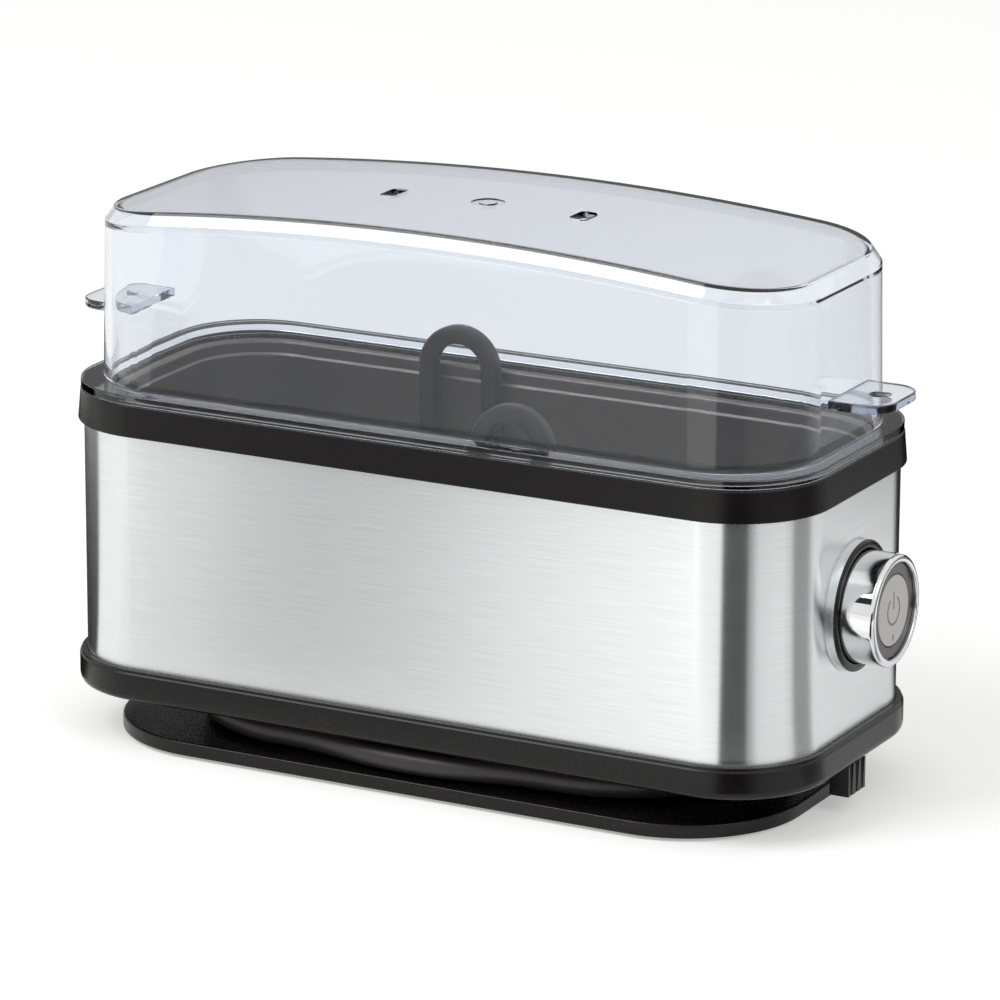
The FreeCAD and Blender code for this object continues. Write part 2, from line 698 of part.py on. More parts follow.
# Lid: clear moulded hood with an arched top, a bevel round it, a flange, end tabs and two steam slots
def hood(name, outline, bottom, top, bevel):
    """A drafted block under the arch, with the arched face's edge bevelled."""
    raised = new_body(name)
    pad(raised, name + "_block", [outline], bottom, f"{top} - {bottom} + {PAST}", draft="lid_draft")
    arch = doc.addObject("Part::Cylinder", name + "_arch")
    arch.Placement.Rotation = FreeCAD.Rotation(FreeCAD.Vector(1, 0, 0), -90)
    arch.setExpression("Radius", bound("lid_arch"))
    arch.setExpression("Height", bound("2 * body_width"))
    place(arch, y="-body_width", z=f"{top} - lid_arch")
    arched = doc.addObject("Part::Common", name + "_arched")
    arched.Base, arched.Tool = raised, arch
    doc.recompute()
    crown = max(arched.Shape.Faces, key=lambda face: face.CenterOfMass.z)
    rim = [i for i, edge in enumerate(arched.Shape.Edges, start=1)
           if any(edge.isSame(other) for other in crown.Edges)]
    bevelled = doc.addObject("Part::Chamfer", name)
    bevelled.Base = arched
    bevelled.Edges = [(i, size(bevel), size(bevel)) for i in rim]
    doc.recompute()
    return bevelled


SKIRT_BOTTOM = f"({COLLAR_TOP} - lid_skirt)"
outer_hood = hood("hood_outside", LID, SKIRT_BOTTOM, LID_TOP, "lid_bevel")
inner_hood = hood(
    "hood_inside", LID_INSIDE, f"({SKIRT_BOTTOM} - {PAST})", f"({LID_TOP} - lid_wall)", "lid_bevel")
flange = new_body("lid_flange")
pad(flange, "flange", [grown(BODY, "collar_overhang - flange_inset")], COLLAR_TOP, "flange_thickness")
TAB_TOP = f"({COLLAR_TOP} + tab_rise)"
TAB_END = f"({BODY_END} + tab_reach)"
tabs = new_body("lid_tabs")
pad(tabs, "tab_bar", [(f"2 * {TAB_END}", "tab_width", "tab_corner")],
    f"{TAB_TOP} - tab_thickness", "tab_thickness")
dimples = [
    upright(f"tab_dimple_{side}", "tab_dimple", f"{TAB_TOP} - tab_dimple_depth", f"tab_dimple_depth + {PAST}",
            f"{sign} * ({TAB_END} - tab_dimple_inset)")
    for side, sign in SIDES
]
vents = []
for side, sign in SIDES:
    vent = new_body(f"vent_{side}")
    pad(vent, f"vent_slot_{side}", [("vent_width", "vent_length", "vent_corner")],
        f"{LID_TOP} - 2 * lid_wall - {PAST}", f"2 * lid_wall + 2 * {PAST}")
    vents.append(place(vent, x=f"{sign} * vent_along"))
lid_outside = fuse("lid_outside", [outer_hood, flange, tabs])
node(cut("lid", lid_outside, [inner_hood] + dimples + vents), "lid")

# Heater plate: aluminium spreader under the pan, drilled for the bracket screws
body = new_body("heater_plate")
pad(body, "spreader", [HEATER], HEATER_UNDER, "heater_thickness")
bracket_bores = [
    upright(f"bracket_bore_{side}", "screw_diameter + screw_slack", HEATER_UNDER,
            "bracket_grip + screw_tip_gap", f"{sign} * bracket_screw_along")
    for side, sign in SIDES
]
node(cut("heater_plate", body, bracket_bores), "heater_plate")

# Heating element: sheathed tube bent into a U under the spreader
ELEMENT_TURN = f"({HEATER_LENGTH} / 2 - element_setback)"
ELEMENT_END = f"({HEATER_LENGTH} / 2 - element_end_setback)"
legs = [
    along_x(f"element_leg_{side}", "element_diameter", f"-{ELEMENT_TURN}", f"{ELEMENT_TURN} + {ELEMENT_END}",
            f"{sign} * element_spread", ELEMENT_AXIS)
    for side, sign in SIDES
]
bend = doc.addObject("Part::Torus", "element_bend")
bend.Placement.Rotation = FreeCAD.Rotation(FreeCAD.Vector(0, 0, 1), 90)
bend.setExpression("Radius1", bound("element_spread"))
bend.setExpression("Radius2", bound("element_diameter / 2"))
bend.Angle3 = 180
place(bend, x=f"-{ELEMENT_TURN}", z=ELEMENT_AXIS)
node(fuse("heating_element", legs + [bend]), "heating_element")

# Element bushes and pins: ceramic ends and the pins that the leads are crimped to
node(separate("element_bushes", [
    along_x(f"element_bush_{side}", "element_diameter", ELEMENT_END, "bush_length",
            f"{sign} * element_spread", ELEMENT_AXIS) for side, sign in SIDES]), "element_bushes")
node(separate("element_pins", [
    along_x(f"element_pin_{side}", "pin_diameter", f"{ELEMENT_END} + bush_length", "pin_length",
            f"{sign} * element_spread", ELEMENT_AXIS) for side, sign in SIDES]), "element_pins")

# Thermostat on its bracket, screwed to the spreader
strip = block("bracket_strip", "bracket_length", "bracket_width", "bracket_thickness",
              "-bracket_length / 2", "-bracket_width / 2", BRACKET_UNDER)
STRIP_CUT = f"bracket_thickness + 2 * {PAST}"
STRIP_LOW = f"{BRACKET_UNDER} - {PAST}"
strip_cuts = [upright("sensor_window", "sensor_diameter + 2 * fit_gap", STRIP_LOW, STRIP_CUT)]
strip_cuts += [
    upright(f"strip_bore_{side}", "screw_diameter + 2 * screw_slack", STRIP_LOW, STRIP_CUT,
            f"{sign} * bracket_screw_along")
    for side, sign in SIDES
]
node(cut("thermostat_bracket", strip, strip_cuts), "thermostat_bracket")
node(separate("bracket_screws", [
    screw(f"bracket_screw_{side}", f"({BRACKET_UNDER} - screw_head_height)",
          "screw_head_height + bracket_thickness + bracket_grip", f"{sign} * bracket_screw_along", "0")
    for side, sign in SIDES]), "bracket_screws")
THERMOSTAT_BOTTOM = f"({BRACKET_UNDER} - thermostat_height)"
node(fuse("thermostat", [
    upright("thermostat_can", "thermostat_diameter", THERMOSTAT_BOTTOM, "thermostat_height"),
    upright("thermostat_sensor", "sensor_diameter", BRACKET_UNDER, "bracket_thickness")]), "thermostat")

# Thermal fuse: sleeved cartridge held against the spreader beside the stud, between the element's legs
FUSE_START = "(stud_along + stud_diameter / 2 + fuse_stand_off)"
node(along_x("thermal_fuse", "fuse_diameter", FUSE_START, "fuse_length", "0",
             f"{HEATER_UNDER} - contact_gap - fuse_diameter / 2"), "thermal_fuse")

# Pan studs and nuts: rods from the spreader down through the tray, which hold the pan on its gasket
NUT_UNDER = f"({BASE_BOTTOM} - nut_height)"
node(separate("pan_studs", [
    upright(f"pan_stud_{side}", "stud_diameter", NUT_UNDER, f"{HEATER_UNDER} - {NUT_UNDER}",
            f"{sign} * stud_along")
    for side, sign in SIDES]), "pan_studs")


def stud_nut(side, sign):
    hexagon = doc.addObject("Part::Prism", f"nut_blank_{side}")
    hexagon.Polygon = 6
    hexagon.setExpression("Circumradius", bound("nut_radius"))
    hexagon.setExpression("Height", bound("nut_height"))
    place(hexagon, x=f"{sign} * stud_along", z=NUT_UNDER)
    thread = upright(f"nut_bore_{side}", "stud_diameter + 2 * contact_gap", f"{NUT_UNDER} - {PAST}",
                     f"nut_height + 2 * {PAST}", f"{sign} * stud_along")
    return cut(f"stud_nut_{side}", hexagon, [thread])


node(separate("stud_nuts", [stud_nut(side, sign) for side, sign in SIDES]), "stud_nuts")

# Bezel: black ring in the shell's hole, which guides the button
bezel_solid = fuse("bezel_solid", [
    along_x("bezel_lip", f"{BEZEL_SLEEVE} + 2 * bezel_lip", BODY_END, "bezel_stand"),
    along_x("bezel_sleeve", BEZEL_SLEEVE, f"{BODY_END} - bezel_tail", "bezel_tail")])
bezel_bore = along_x("bezel_bore", BEZEL_BORE, f"{BODY_END} - bezel_tail - {PAST}",
                     f"bezel_tail + bezel_stand + 2 * {PAST}")
node(cut("button_bezel", bezel_solid, [bezel_bore]), "button_bezel")

# Button cap: chromed barrel, hollow behind, recessed in front for the ring and the face
barrel = along_x("cap_barrel", "cap_diameter", CAP_BACK, "cap_depth")
doc.recompute()
rounded_barrel = doc.addObject("Part::Fillet", "cap_rounded")
rounded_barrel.Base = barrel
front_edge = max(range(len(barrel.Shape.Edges)), key=lambda i: barrel.Shape.Edges[i].BoundBox.XMin) + 1
rounded_barrel.Edges = [(front_edge, size("cap_edge"), size("cap_edge"))]
doc.recompute()
RECESS = "(cap_diameter - 2 * cap_rim)"
node(cut("button_cap", rounded_barrel, [
    along_x("cap_hollow", "cap_diameter - 2 * cap_wall", f"{CAP_BACK} - {PAST}",
            f"{WEB_BACK} - {CAP_BACK} + {PAST}"),
    along_x("cap_recess", RECESS, RECESS_FLOOR, f"recess_depth + {PAST}")]), "button_cap")

# Light ring and face: smoked ring and grey disc seated in the cap's recess
RING_OUTSIDE = f"({RECESS} - 2 * fit_gap)"
RING_BORE = f"({RING_OUTSIDE} - 2 * ring_width)"
ring_bore = along_x("ring_bore", RING_BORE, f"{RECESS_FLOOR} - {PAST}", f"ring_thickness + 2 * {PAST}")
ring_disc = along_x("ring_disc", RING_OUTSIDE, RECESS_FLOOR, "ring_thickness")
node(cut("light_ring", ring_disc, [ring_bore]), "light_ring")
node(along_x("button_face", f"{RING_BORE} - 2 * run_gap", RECESS_FLOOR, "face_thickness"), "button_face")

# Button stem: rod from the cap's web into the switch
STEM_END = f"({WEB_BACK} - stem_length)"
node(along_x("button_stem", "stem_diameter", STEM_END, "stem_length"), "button_stem")

# Switch on its bracket, with the lamp board on its front
switch_case = block("switch_case", "switch_length", "switch_width", "switch_height",
                    f"{SWITCH_FACE} - switch_length", "-switch_width / 2", SWITCH_BOTTOM)
STEM_WELL = f"(stem_length - {WEB_BACK} + {SWITCH_FACE} + press_travel + stem_slack)"
stem_well = along_x("stem_well", "stem_diameter + 2 * stem_slack", f"{SWITCH_FACE} - {STEM_WELL}",
                    f"{STEM_WELL} + {PAST}")
node(cut("switch_body", switch_case, [stem_well]), "switch_body")
SHELF_LENGTH = "(switch_length + shelf_margin)"
SHELF_WIDTH = "(switch_width + 2 * shelf_margin)"
SHELF_START = f"({SWITCH_FACE} - switch_length - shelf_margin)"
SHELF_UNDER = f"({SWITCH_BOTTOM} - shelf_thickness)"
shelf = block("bracket_shelf", SHELF_LENGTH, SHELF_WIDTH, "shelf_thickness",
              SHELF_START, f"-{SHELF_WIDTH} / 2", SHELF_UNDER)
web = block("bracket_web", "web_thickness", SHELF_WIDTH, f"{SHELF_UNDER} - {BASE_FLOOR_TOP}",
            f"{SHELF_START} + {SHELF_LENGTH} / 2 - web_thickness / 2", f"-{SHELF_WIDTH} / 2", BASE_FLOOR_TOP)
foot = block("bracket_foot", SHELF_LENGTH, SHELF_WIDTH, "shelf_thickness",
             SHELF_START, f"-{SHELF_WIDTH} / 2", BASE_FLOOR_TOP)
node(fuse("switch_bracket", [shelf, web, foot]), "switch_bracket")
board = block("board_blank", "board_thickness", "board_width", "switch_height",
              SWITCH_FACE, "-board_width / 2", SWITCH_BOTTOM)
board_bore = along_x("board_bore", "stem_diameter + 2 * stem_slack", f"{SWITCH_FACE} - {PAST}",
                     f"board_thickness + 2 * {PAST}")
node(cut("lamp_board", board, [board_bore]), "lamp_board")
node(along_x("status_lamp", "lamp_diameter", BOARD_FACE, "lamp_length", "lamp_offset"), "status_lamp")

# Terminal block on its ribs, over the hole that the cord comes up through
node(block("terminal_block", "block_length", "block_width", "block_height",
           f"{BLOCK_X} - block_length / 2", "block_across - block_width / 2", BLOCK_BOTTOM), "terminal_block")

# Cord stop: fluted block under the button end of the tray, which keeps the wound turns in the store
STOP_FACE = f"({BODY_END} + base_overhang - stop_inset)"
STOP_BOTTOM = f"({BASE_BOTTOM} - stop_height)"
stop_block = block("stop_block", "stop_depth", "stop_width", "stop_height", f"{STOP_FACE} - stop_depth",
                   "-stop_width / 2", STOP_BOTTOM)


def flute(side, sign):
    """Groove down the block's outer face, wide at the top."""
    groove = doc.addObject("Part::Cone", f"stop_flute_{side}")
    groove.setExpression("Radius1", bound("flute_bottom / 2"))
    groove.setExpression("Radius2", bound("flute_top / 2"))
    groove.setExpression("Height", bound("stop_height"))
    return place(groove, x=STOP_FACE, y=f"{sign} * flute_pitch", z=STOP_BOTTOM)


flutes = [flute(side, sign) for side, sign in (*SIDES, ("middle", "0"))]
node(cut("cord_stop", stop_block, flutes), "cord_stop")


# Wires, cords and the spring: tubes swept along lines and tangent arcs


def vector(x, y, z):
    return FreeCAD.Vector(x, y, z)


def rounded_edges(name, points):
    """Straight runs joined by tangent arcs, each as large as its two runs allow."""
    share = 0.45
    edges, start, radii = [], points[0], []
    for before, corner, after in zip(points, points[1:], points[2:]):
        run_in, run_out = corner - before, after - corner
        turn = run_in.getAngle(run_out)
        reach = share * min(run_in.Length, run_out.Length)
        radii.append(reach / math.tan(turn / 2))
        into, out = corner - run_in.normalize() * reach, corner + run_out.normalize() * reach
        inward = (into + out) * 0.5 - corner
        sag = radii[-1] / math.cos(turn / 2) - radii[-1]
        middle = corner + inward.normalize() * sag
        edges.append(Part.LineSegment(start, into).toShape())
        edges.append(Part.Arc(into, middle, out).toShape())
        start = out
    edges.append(Part.LineSegment(start, points[-1]).toShape())
    print(name, "radii", [round(radius, 1) for radius in radii])
    return edges


def section(edge, diameter):
    """The round section that stands square on an edge's start."""
    start, ahead = edge.valueAt(edge.FirstParameter), edge.tangentAt(edge.FirstParameter)
    return Part.Wire([Part.Circle(start, ahead, diameter / 2).toShape()])


def tube(name, edges, diameter):
    """A round tube along joined edges, its volume compared with section times length."""
    path = Part.Wire(edges)
    solid = path.makePipeShell([section(edges[0], diameter)], True, False)
    expected = math.pi * diameter ** 2 / 4 * path.Length
    print(name, "length", round(path.Length, 1), "volume ratio", round(solid.Volume / expected, 4))
    feature = doc.addObject("Part::Feature", name)
    feature.Shape = solid
    feature.Placement = FreeCAD.Placement()
    return node(feature, name)


cord = size("cord_diameter")
cord_axis = size(CORD_AXIS)

# Gland: moulded block in the core's wall with a tapered boot along the first run of cord
gland_block = block("gland_block", "gland_length", GLAND_WIDTH, f"{CORD_SPACE} - 2 * fit_gap", GLAND_START,
                    GLAND_INSIDE, f"{PLATE_TOP} + fit_gap")
boot = cone_x("gland_boot", BOOT_ROOT, "cord_diameter + 2 * boot_lip", GLAND_START, "boot_length",
              REAR_FIRST, CORD_AXIS, turn=-90)
node(fuse("cord_gland", [gland_block, boot]), "cord_gland")

# Winding: two turns round the core, straight runs and half turns, the outer front run slack and bowed
turn_centre = size(f"{CORE_LENGTH} / 2 - {CORE_WIDTH} / 2")
turn_pitch = cord + size("cord_gap")
rear_first = size(REAR_FIRST)
front_first = rear_first + size("winding_slack")
bow_angle = math.radians(size("winding_bow"))
winding_turns = 2


def turn_arc(side, start_level, start_angle, end_level, end_angle):
    """Half turn round one end of the core, from one run's level and slope to the next run's."""
    radius = abs(end_level - start_level) / (math.cos(start_angle) + math.cos(end_angle))
    way = 1 if end_level > start_level else -1
    middle_level = start_level + way * radius * math.cos(start_angle)
    start = vector(side * (turn_centre + radius * math.sin(start_angle)), start_level, cord_axis)
    end = vector(side * (turn_centre + radius * math.sin(end_angle)), end_level, cord_axis)
    far = vector(side * (turn_centre + radius), middle_level, cord_axis)
    return start, far, end


def winding_edges():
    begin = vector(size(f"{GLAND_START} - boot_length"), rear_first, cord_axis)
    edges, last = [], begin
    for turn in range(winding_turns):
        rear, front = rear_first + turn * turn_pitch, -(front_first + turn * turn_pitch)
        slope = bow_angle if turn == winding_turns - 1 else 0.0
        left = turn_arc(-1, rear, 0.0, front, slope)
        right = turn_arc(1, front, slope, rear + turn_pitch, 0.0)
        bow = (right[0].x - left[2].x) / 2 * math.tan(slope / 2)
        edges.append(Part.LineSegment(last, left[0]).toShape())
        edges.append(Part.Arc(*left).toShape())
        if slope:
            crest = vector((left[2].x + right[0].x) / 2, front - bow, cord_axis)
            edges.append(Part.Arc(left[2], crest, right[0]).toShape())
        else:
            edges.append(Part.LineSegment(left[2], right[0]).toShape())
        edges.append(Part.Arc(*right).toShape())
        last = right[2]
    edges.append(Part.LineSegment(last, last - vector(cord, 0, 0)).toShape())
    return edges


def least_gap(edges, diameter, step=2.0):
    """The smallest clear distance between stretches of one tube that are not neighbours along it."""
    points = Part.Wire(edges).discretize(Distance=step)
    neighbours = int(4 * diameter / step)
    nearest = min(a.distanceToPoint(b) for i, a in enumerate(points) for b in points[i + neighbours:])
    return nearest - diameter


wound = winding_edges()
print("cord_winding least gap to itself", round(least_gap(wound, cord), 2))
tube("cord_winding", wound, cord)

# Cord tail: from the last run out of the store and down to the plug behind the case
winding_end = wound[-1].valueAt(wound[-1].LastParameter)
tilt = math.radians(size("plug_tilt"))
plug_ahead = vector(-math.cos(tilt), 0, math.sin(tilt))
plug_entry = vector(-46.0, 64.5, 7.75)
tail_points = [
    winding_end,
    vector(16.0, 41.2, 7.9),
    vector(0.5, 48.8, 7.9),
    vector(-13.0, 59.0, 3.2),
    plug_entry - plug_ahead * 18.0,
    plug_entry,
]
tube("cord_tail", rounded_edges("cord_tail", tail_points), cord)

# Inner cord end: from the gland through the core and up to the terminal block
block_x = size(BLOCK_X)
block_y = size("block_across")
inner_start = vector(block_x, size(GLAND_INSIDE), cord_axis)
inner_corner = vector(block_x, block_y, cord_axis)
inner_end = vector(block_x, block_y, size(BLOCK_BOTTOM))
tube("inner_cord", rounded_edges("inner_cord", [inner_start, inner_corner, inner_end]), cord)

# Inner leads: single wires between the block, the switch, the thermostat and the element
lead = size("lead_diameter")
block_right = block_x + size("block_length / 2")
block_left = block_x - size("block_length / 2")
live_side = block_y + size("lead_spread")
neutral_side = block_y - size("lead_spread")
lead_level = size(f"{BLOCK_BOTTOM} + block_height / 2")
switch_back = size(f"{SWITCH_FACE} - switch_length")
switch_level = size(BUTTON_AXIS)
can_bottom = size(THERMOSTAT_BOTTOM)
pin_end = size(f"{ELEMENT_END} + bush_length + pin_length")
pin_side = size("element_spread")
pin_level = size(ELEMENT_AXIS)
spreader = size(HEATER_UNDER)
leads = {
    "live_lead": [
        (block_right, live_side, lead_level), (block_right + 9, live_side, lead_level),
        (block_right + 14, 9, 38), (switch_back - 8, 5, switch_level), (switch_back, 5, switch_level)],
    "neutral_lead": [
        (block_right, neutral_side, lead_level), (block_right + 8, neutral_side, lead_level),
        (block_right + 16, 14, 30), (pin_end + 8, 18, 41), (pin_end + 7, pin_side, pin_level),
        (pin_end, pin_side, pin_level)],
    "switch_lead": [
        (switch_back, -5, switch_level), (switch_back - 7, -5, switch_level), (switch_back - 10, -7, 42),
        (30, -9, 41), (12, -6.5, 37.5), (5, -5, 39.5), (5, -5, can_bottom)],
    "heater_lead": [
        (-5, -5, can_bottom), (-5, -5, 39), (2, -8, 34), (20, -12, 33), (44, -16, 34),
        (pin_end + 4, -18, 38), (pin_end + 9, -15, pin_level - 5), (pin_end + 6, -pin_side, pin_level),
        (pin_end, -pin_side, pin_level)],
    "earth_lead": [
        (block_left, block_y, lead_level), (block_left - 12, block_y, lead_level), (-16, 9, 33), (-24, 7, 44),
        (-24, 7, spreader)],
}
for lead_name, route in leads.items():
    tube(lead_name, rounded_edges(lead_name, [vector(*point) for point in route]), lead)

# Return spring: coil round the stem between the lamp board and the cap's web
spring_start = size(f"{BOARD_FACE} + spring_wire / 2 + spring_end_gap")
spring_run = size(f"{WEB_BACK} - spring_wire / 2 - spring_end_gap") - spring_start
spring_radius = size("stem_diameter / 2 + spring_room")
spring_turns = size("spring_turns")
spring_rise = spring_run / (2 * math.pi * spring_turns)


def on_spring(angle):
    """The coil's point and direction at an angle from its start."""
    y, z = spring_radius * math.cos(angle), spring_radius * math.sin(angle)
    point = vector(spring_start + spring_rise * angle, y, switch_level + z)
    return point, vector(spring_rise, -z, y).normalize()


def arc_from(start, ahead, end):
    """The arc that leaves a point in one direction and ends at another point."""
    chord = end - start
    side = ahead - chord * (ahead.dot(chord) / chord.dot(chord))
    sag = chord.Length / 2 * math.tan(ahead.getAngle(chord) / 2)
    return Part.Arc(start, start + chord * 0.5 + side.normalize() * sag, end).toShape()


def biarc(start, ahead, end, onward):
    """Two tangent arcs from one point and direction to the next."""
    chord, both = end - start, ahead + onward
    square = 2 * (1 - ahead.dot(onward))
    along = chord.dot(both)
    reach = (math.sqrt(along ** 2 + square * chord.dot(chord)) - along) / square
    joint = (start + end + (ahead - onward) * reach) * 0.5
    second = arc_from(end, onward * -1, joint)
    return [arc_from(start, ahead, joint), second]


quarters = int(round(4 * spring_turns))
stations = [on_spring(quarter * math.pi / 2) for quarter in range(quarters + 1)]
coil = [edge for here, there in zip(stations, stations[1:]) for edge in biarc(*here, *there)]
tube("button_spring", coil, size("spring_wire"))

# Mains plug: moulded body with pins and earth contacts, lying tilted on the table behind the case
plug_place = FreeCAD.Placement(plug_entry, FreeCAD.Rotation(vector(1, 0, 0), plug_ahead))
DISC_START = "(plug_boot + plug_grip)"
PIN_START = f"({DISC_START} + plug_disc_depth)"
plug_solid = fuse("plug_solid", [
    cone_x("plug_boot_part", "plug_boot_tip", "plug_grip_start", "0", "plug_boot"),
    cone_x("plug_grip_part", "plug_grip_start", "plug_grip_end", "plug_boot", "plug_grip"),
    along_x("plug_disc_part", "plug_disc", DISC_START, "plug_disc_depth", z="0")])
EARTH_TOP = "(plug_disc / 2 - earth_depth)"
earth_cuts = [
    block(f"earth_cut_{side}", "plug_disc_depth", "earth_width", f"earth_depth + {PAST}", DISC_START,
          "-earth_width / 2", start)
    for side, start in (("low", f"-plug_disc / 2 - {PAST}"), ("high", EARTH_TOP))
]
mains_plug = cut("mains_plug", plug_solid, earth_cuts)
mains_plug.Placement = plug_place
node(mains_plug, "mains_plug")
plug_pins = separate("plug_pins", [
    along_x(f"plug_pin_{side}", "plug_pin_diameter", PIN_START, "plug_pin_length",
            f"{sign} * plug_pin_pitch / 2", "0")
    for side, sign in SIDES])
plug_pins.Placement = plug_place
node(plug_pins, "plug_pins")
earth_contacts = separate("earth_contacts", [
    block(f"earth_contact_{side}", "plug_disc_depth", "earth_width - 2 * fit_gap", "earth_depth / 2",
          DISC_START, "-earth_width / 2 + fit_gap", start)
    for side, start in (("low", "-plug_disc / 2 + earth_depth / 2"), ("high", EARTH_TOP))])
earth_contacts.Placement = plug_place
node(earth_contacts, "earth_contacts")

# Check everything, then write one file for each piece
doc.recompute()
faults = [item.Name for item in doc.Objects if "Invalid" in item.State or "Error" in item.State]
faults += [piece.Label for piece in pieces if piece.Shape.isNull() or not piece.Shape.isValid()]
if faults:
    raise RuntimeError("failed: " + ", ".join(faults))
os.makedirs("parts", exist_ok=True)
for piece in pieces:
    piece.Shape.exportStep(f"parts/{piece.Label}.step")
    print(piece.Label, len(piece.Shape.Solids), "solids", round(piece.Shape.Volume, 1))
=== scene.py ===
import math

import bmesh
import bpy
from mathutils import Matrix, Vector


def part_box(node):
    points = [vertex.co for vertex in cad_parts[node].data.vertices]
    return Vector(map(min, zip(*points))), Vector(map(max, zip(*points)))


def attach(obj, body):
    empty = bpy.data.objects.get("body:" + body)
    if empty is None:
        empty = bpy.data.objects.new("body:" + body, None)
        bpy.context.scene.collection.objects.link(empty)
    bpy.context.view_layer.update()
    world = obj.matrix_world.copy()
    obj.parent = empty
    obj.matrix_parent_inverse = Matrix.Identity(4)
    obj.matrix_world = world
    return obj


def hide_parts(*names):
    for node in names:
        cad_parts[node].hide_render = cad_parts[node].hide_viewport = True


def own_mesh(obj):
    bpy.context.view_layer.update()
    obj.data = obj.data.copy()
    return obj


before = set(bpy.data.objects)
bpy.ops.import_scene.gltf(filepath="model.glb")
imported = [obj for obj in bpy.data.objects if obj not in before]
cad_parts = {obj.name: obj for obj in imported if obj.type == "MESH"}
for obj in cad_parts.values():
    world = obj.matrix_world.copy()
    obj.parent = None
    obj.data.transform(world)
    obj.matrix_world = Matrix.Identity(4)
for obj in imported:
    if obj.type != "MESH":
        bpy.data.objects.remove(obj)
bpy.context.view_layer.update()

# Camera: a long lens at the photograph's angle, from the front right and a little above the lid.
# Places are in metres in the part's own frame, with the front at -Y and the button at +X.
CAMERA_PLACE = Vector((0.6382, -1.1976, 0.4499))
CAMERA_TURN, CAMERA_DROP, CAMERA_ROLL = (math.radians(angle) for angle in (27.92, 15.88, 0.22))
SENSOR_WIDTH, FOCAL_LENGTH = 36.0, 206.455

scene = bpy.context.scene
scene.view_settings.view_transform = "Standard"
lens = bpy.data.cameras.new("camera")
lens.sensor_width = SENSOR_WIDTH
lens.lens = FOCAL_LENGTH
camera = bpy.data.objects.new("camera", lens)
scene.collection.objects.link(camera)
camera.matrix_world = (
    Matrix.Translation(CAMERA_PLACE) @ Matrix.Rotation(CAMERA_TURN, 4, "Z")
    @ Matrix.Rotation(math.pi / 2 - CAMERA_DROP, 4, "X") @ Matrix.Rotation(CAMERA_ROLL, 4, "Z"))
scene.camera = camera

# Studio: a pale floor in an even white surround, which metal and clear plastic show as well.
# A large soft lamp above the left front gives the shadow. Shaded cards, which only reflections
# see, draw the dark lines down the steel's corners and the soft tones across its front.
SURROUND_LIGHT, FLOOR_GLOW = 0.55, 0.36
FLOOR_HALF = 5.0


def linear(hexcode):
    """An sRGB hex colour as the linear colour that a socket takes."""
    parts = [int(hexcode[place:place + 2], 16) / 255 for place in (1, 3, 5)]
    return (*(c / 12.92 if c <= 0.04045 else ((c + 0.055) / 1.055) ** 2.4 for c in parts), 1.0)


def add(tree, kind, settings=None, inputs=None):
    """Add a node with its settings, and give each named input a value or a link."""
    node = tree.nodes.new(kind)
    for key, value in (settings or {}).items():
        setattr(node, key, value)
    for key, value in (inputs or {}).items():
        if isinstance(value, bpy.types.NodeSocket):
            tree.links.new(value, node.inputs[key])
        else:
            node.inputs[key].default_value = value
    return node


def seen_rays(tree):
    """1 for the camera, for reflections and through clear plastic, and 0 for the light on things."""
    path = add(tree, "ShaderNodeLightPath")
    outside = add(tree, "ShaderNodeMath", {"operation": "MAXIMUM"},
                  {0: path.outputs["Is Camera Ray"], 1: path.outputs["Is Glossy Ray"]})
    return add(tree, "ShaderNodeMath", {"operation": "MAXIMUM"},
               {0: outside.outputs[0], 1: path.outputs["Is Transmission Ray"]}).outputs[0]


def clear_material(name):
    """A new material with an empty node tree."""
    material = bpy.data.materials.new(name)
    material.use_nodes = True
    material.node_tree.nodes.clear()
    return material, material.node_tree


def between(tree, share, least, most):
    """A value between two values."""
    return add(tree, "ShaderNodeMapRange", {}, {"Value": share, "To Min": least, "To Max": most}).outputs[0]


def surface(tree, shader):
    """Link a shader to the material's output."""
    add(tree, "ShaderNodeOutputMaterial", {}, {"Surface": shader.outputs[0]})


def stage_sheet(name, corners, faces, material):
    """A sheet of the stage, which isn't part of the object."""
    mesh = bpy.data.meshes.new(name)
    mesh.from_pydata(corners, [], faces)
    mesh.materials.append(material)
    sheet = bpy.data.objects.new(name, mesh)
    scene.collection.objects.link(sheet)
    return sheet


world = bpy.data.worlds.new("studio_surround")
scene.world = world
world.use_nodes = True
tree = world.node_tree
tree.nodes.clear()
white = add(tree, "ShaderNodeBackground", {}, {
    "Color": linear("#ffffff"), "Strength": between(tree, seen_rays(tree), SURROUND_LIGHT, 1.0)})
add(tree, "ShaderNodeOutputWorld", {}, {"Surface": white.outputs[0]})

floor_paint, tree = clear_material("pale_studio_floor")
matt = add(tree, "ShaderNodeBsdfDiffuse", {}, {"Color": linear("#eeeeec")})
glow_level = add(tree, "ShaderNodeMath", {"operation": "MULTIPLY"}, {0: seen_rays(tree), 1: FLOOR_GLOW})
glow = add(tree, "ShaderNodeEmission", {}, {"Color": linear("#ffffff"), "Strength": glow_level.outputs[0]})
surface(tree, add(tree, "ShaderNodeAddShader", {}, {0: matt.outputs[0], 1: glow.outputs[0]}))
floor_corners = [(sx * FLOOR_HALF, sy * FLOOR_HALF, 0) for sx, sy in ((-1, -1), (1, -1), (1, 1), (-1, 1))]
stage_sheet("studio_floor", floor_corners, [(0, 1, 2, 3)], floor_paint)

card_paper, tree = clear_material("studio_card_paper")
tone = add(tree, "ShaderNodeAttribute", {"attribute_name": "shade"})
pale = add(tree, "ShaderNodeEmission", {}, {"Color": linear("#ffffff"), "Strength": tone.outputs["Fac"]})
surface(tree, pale)


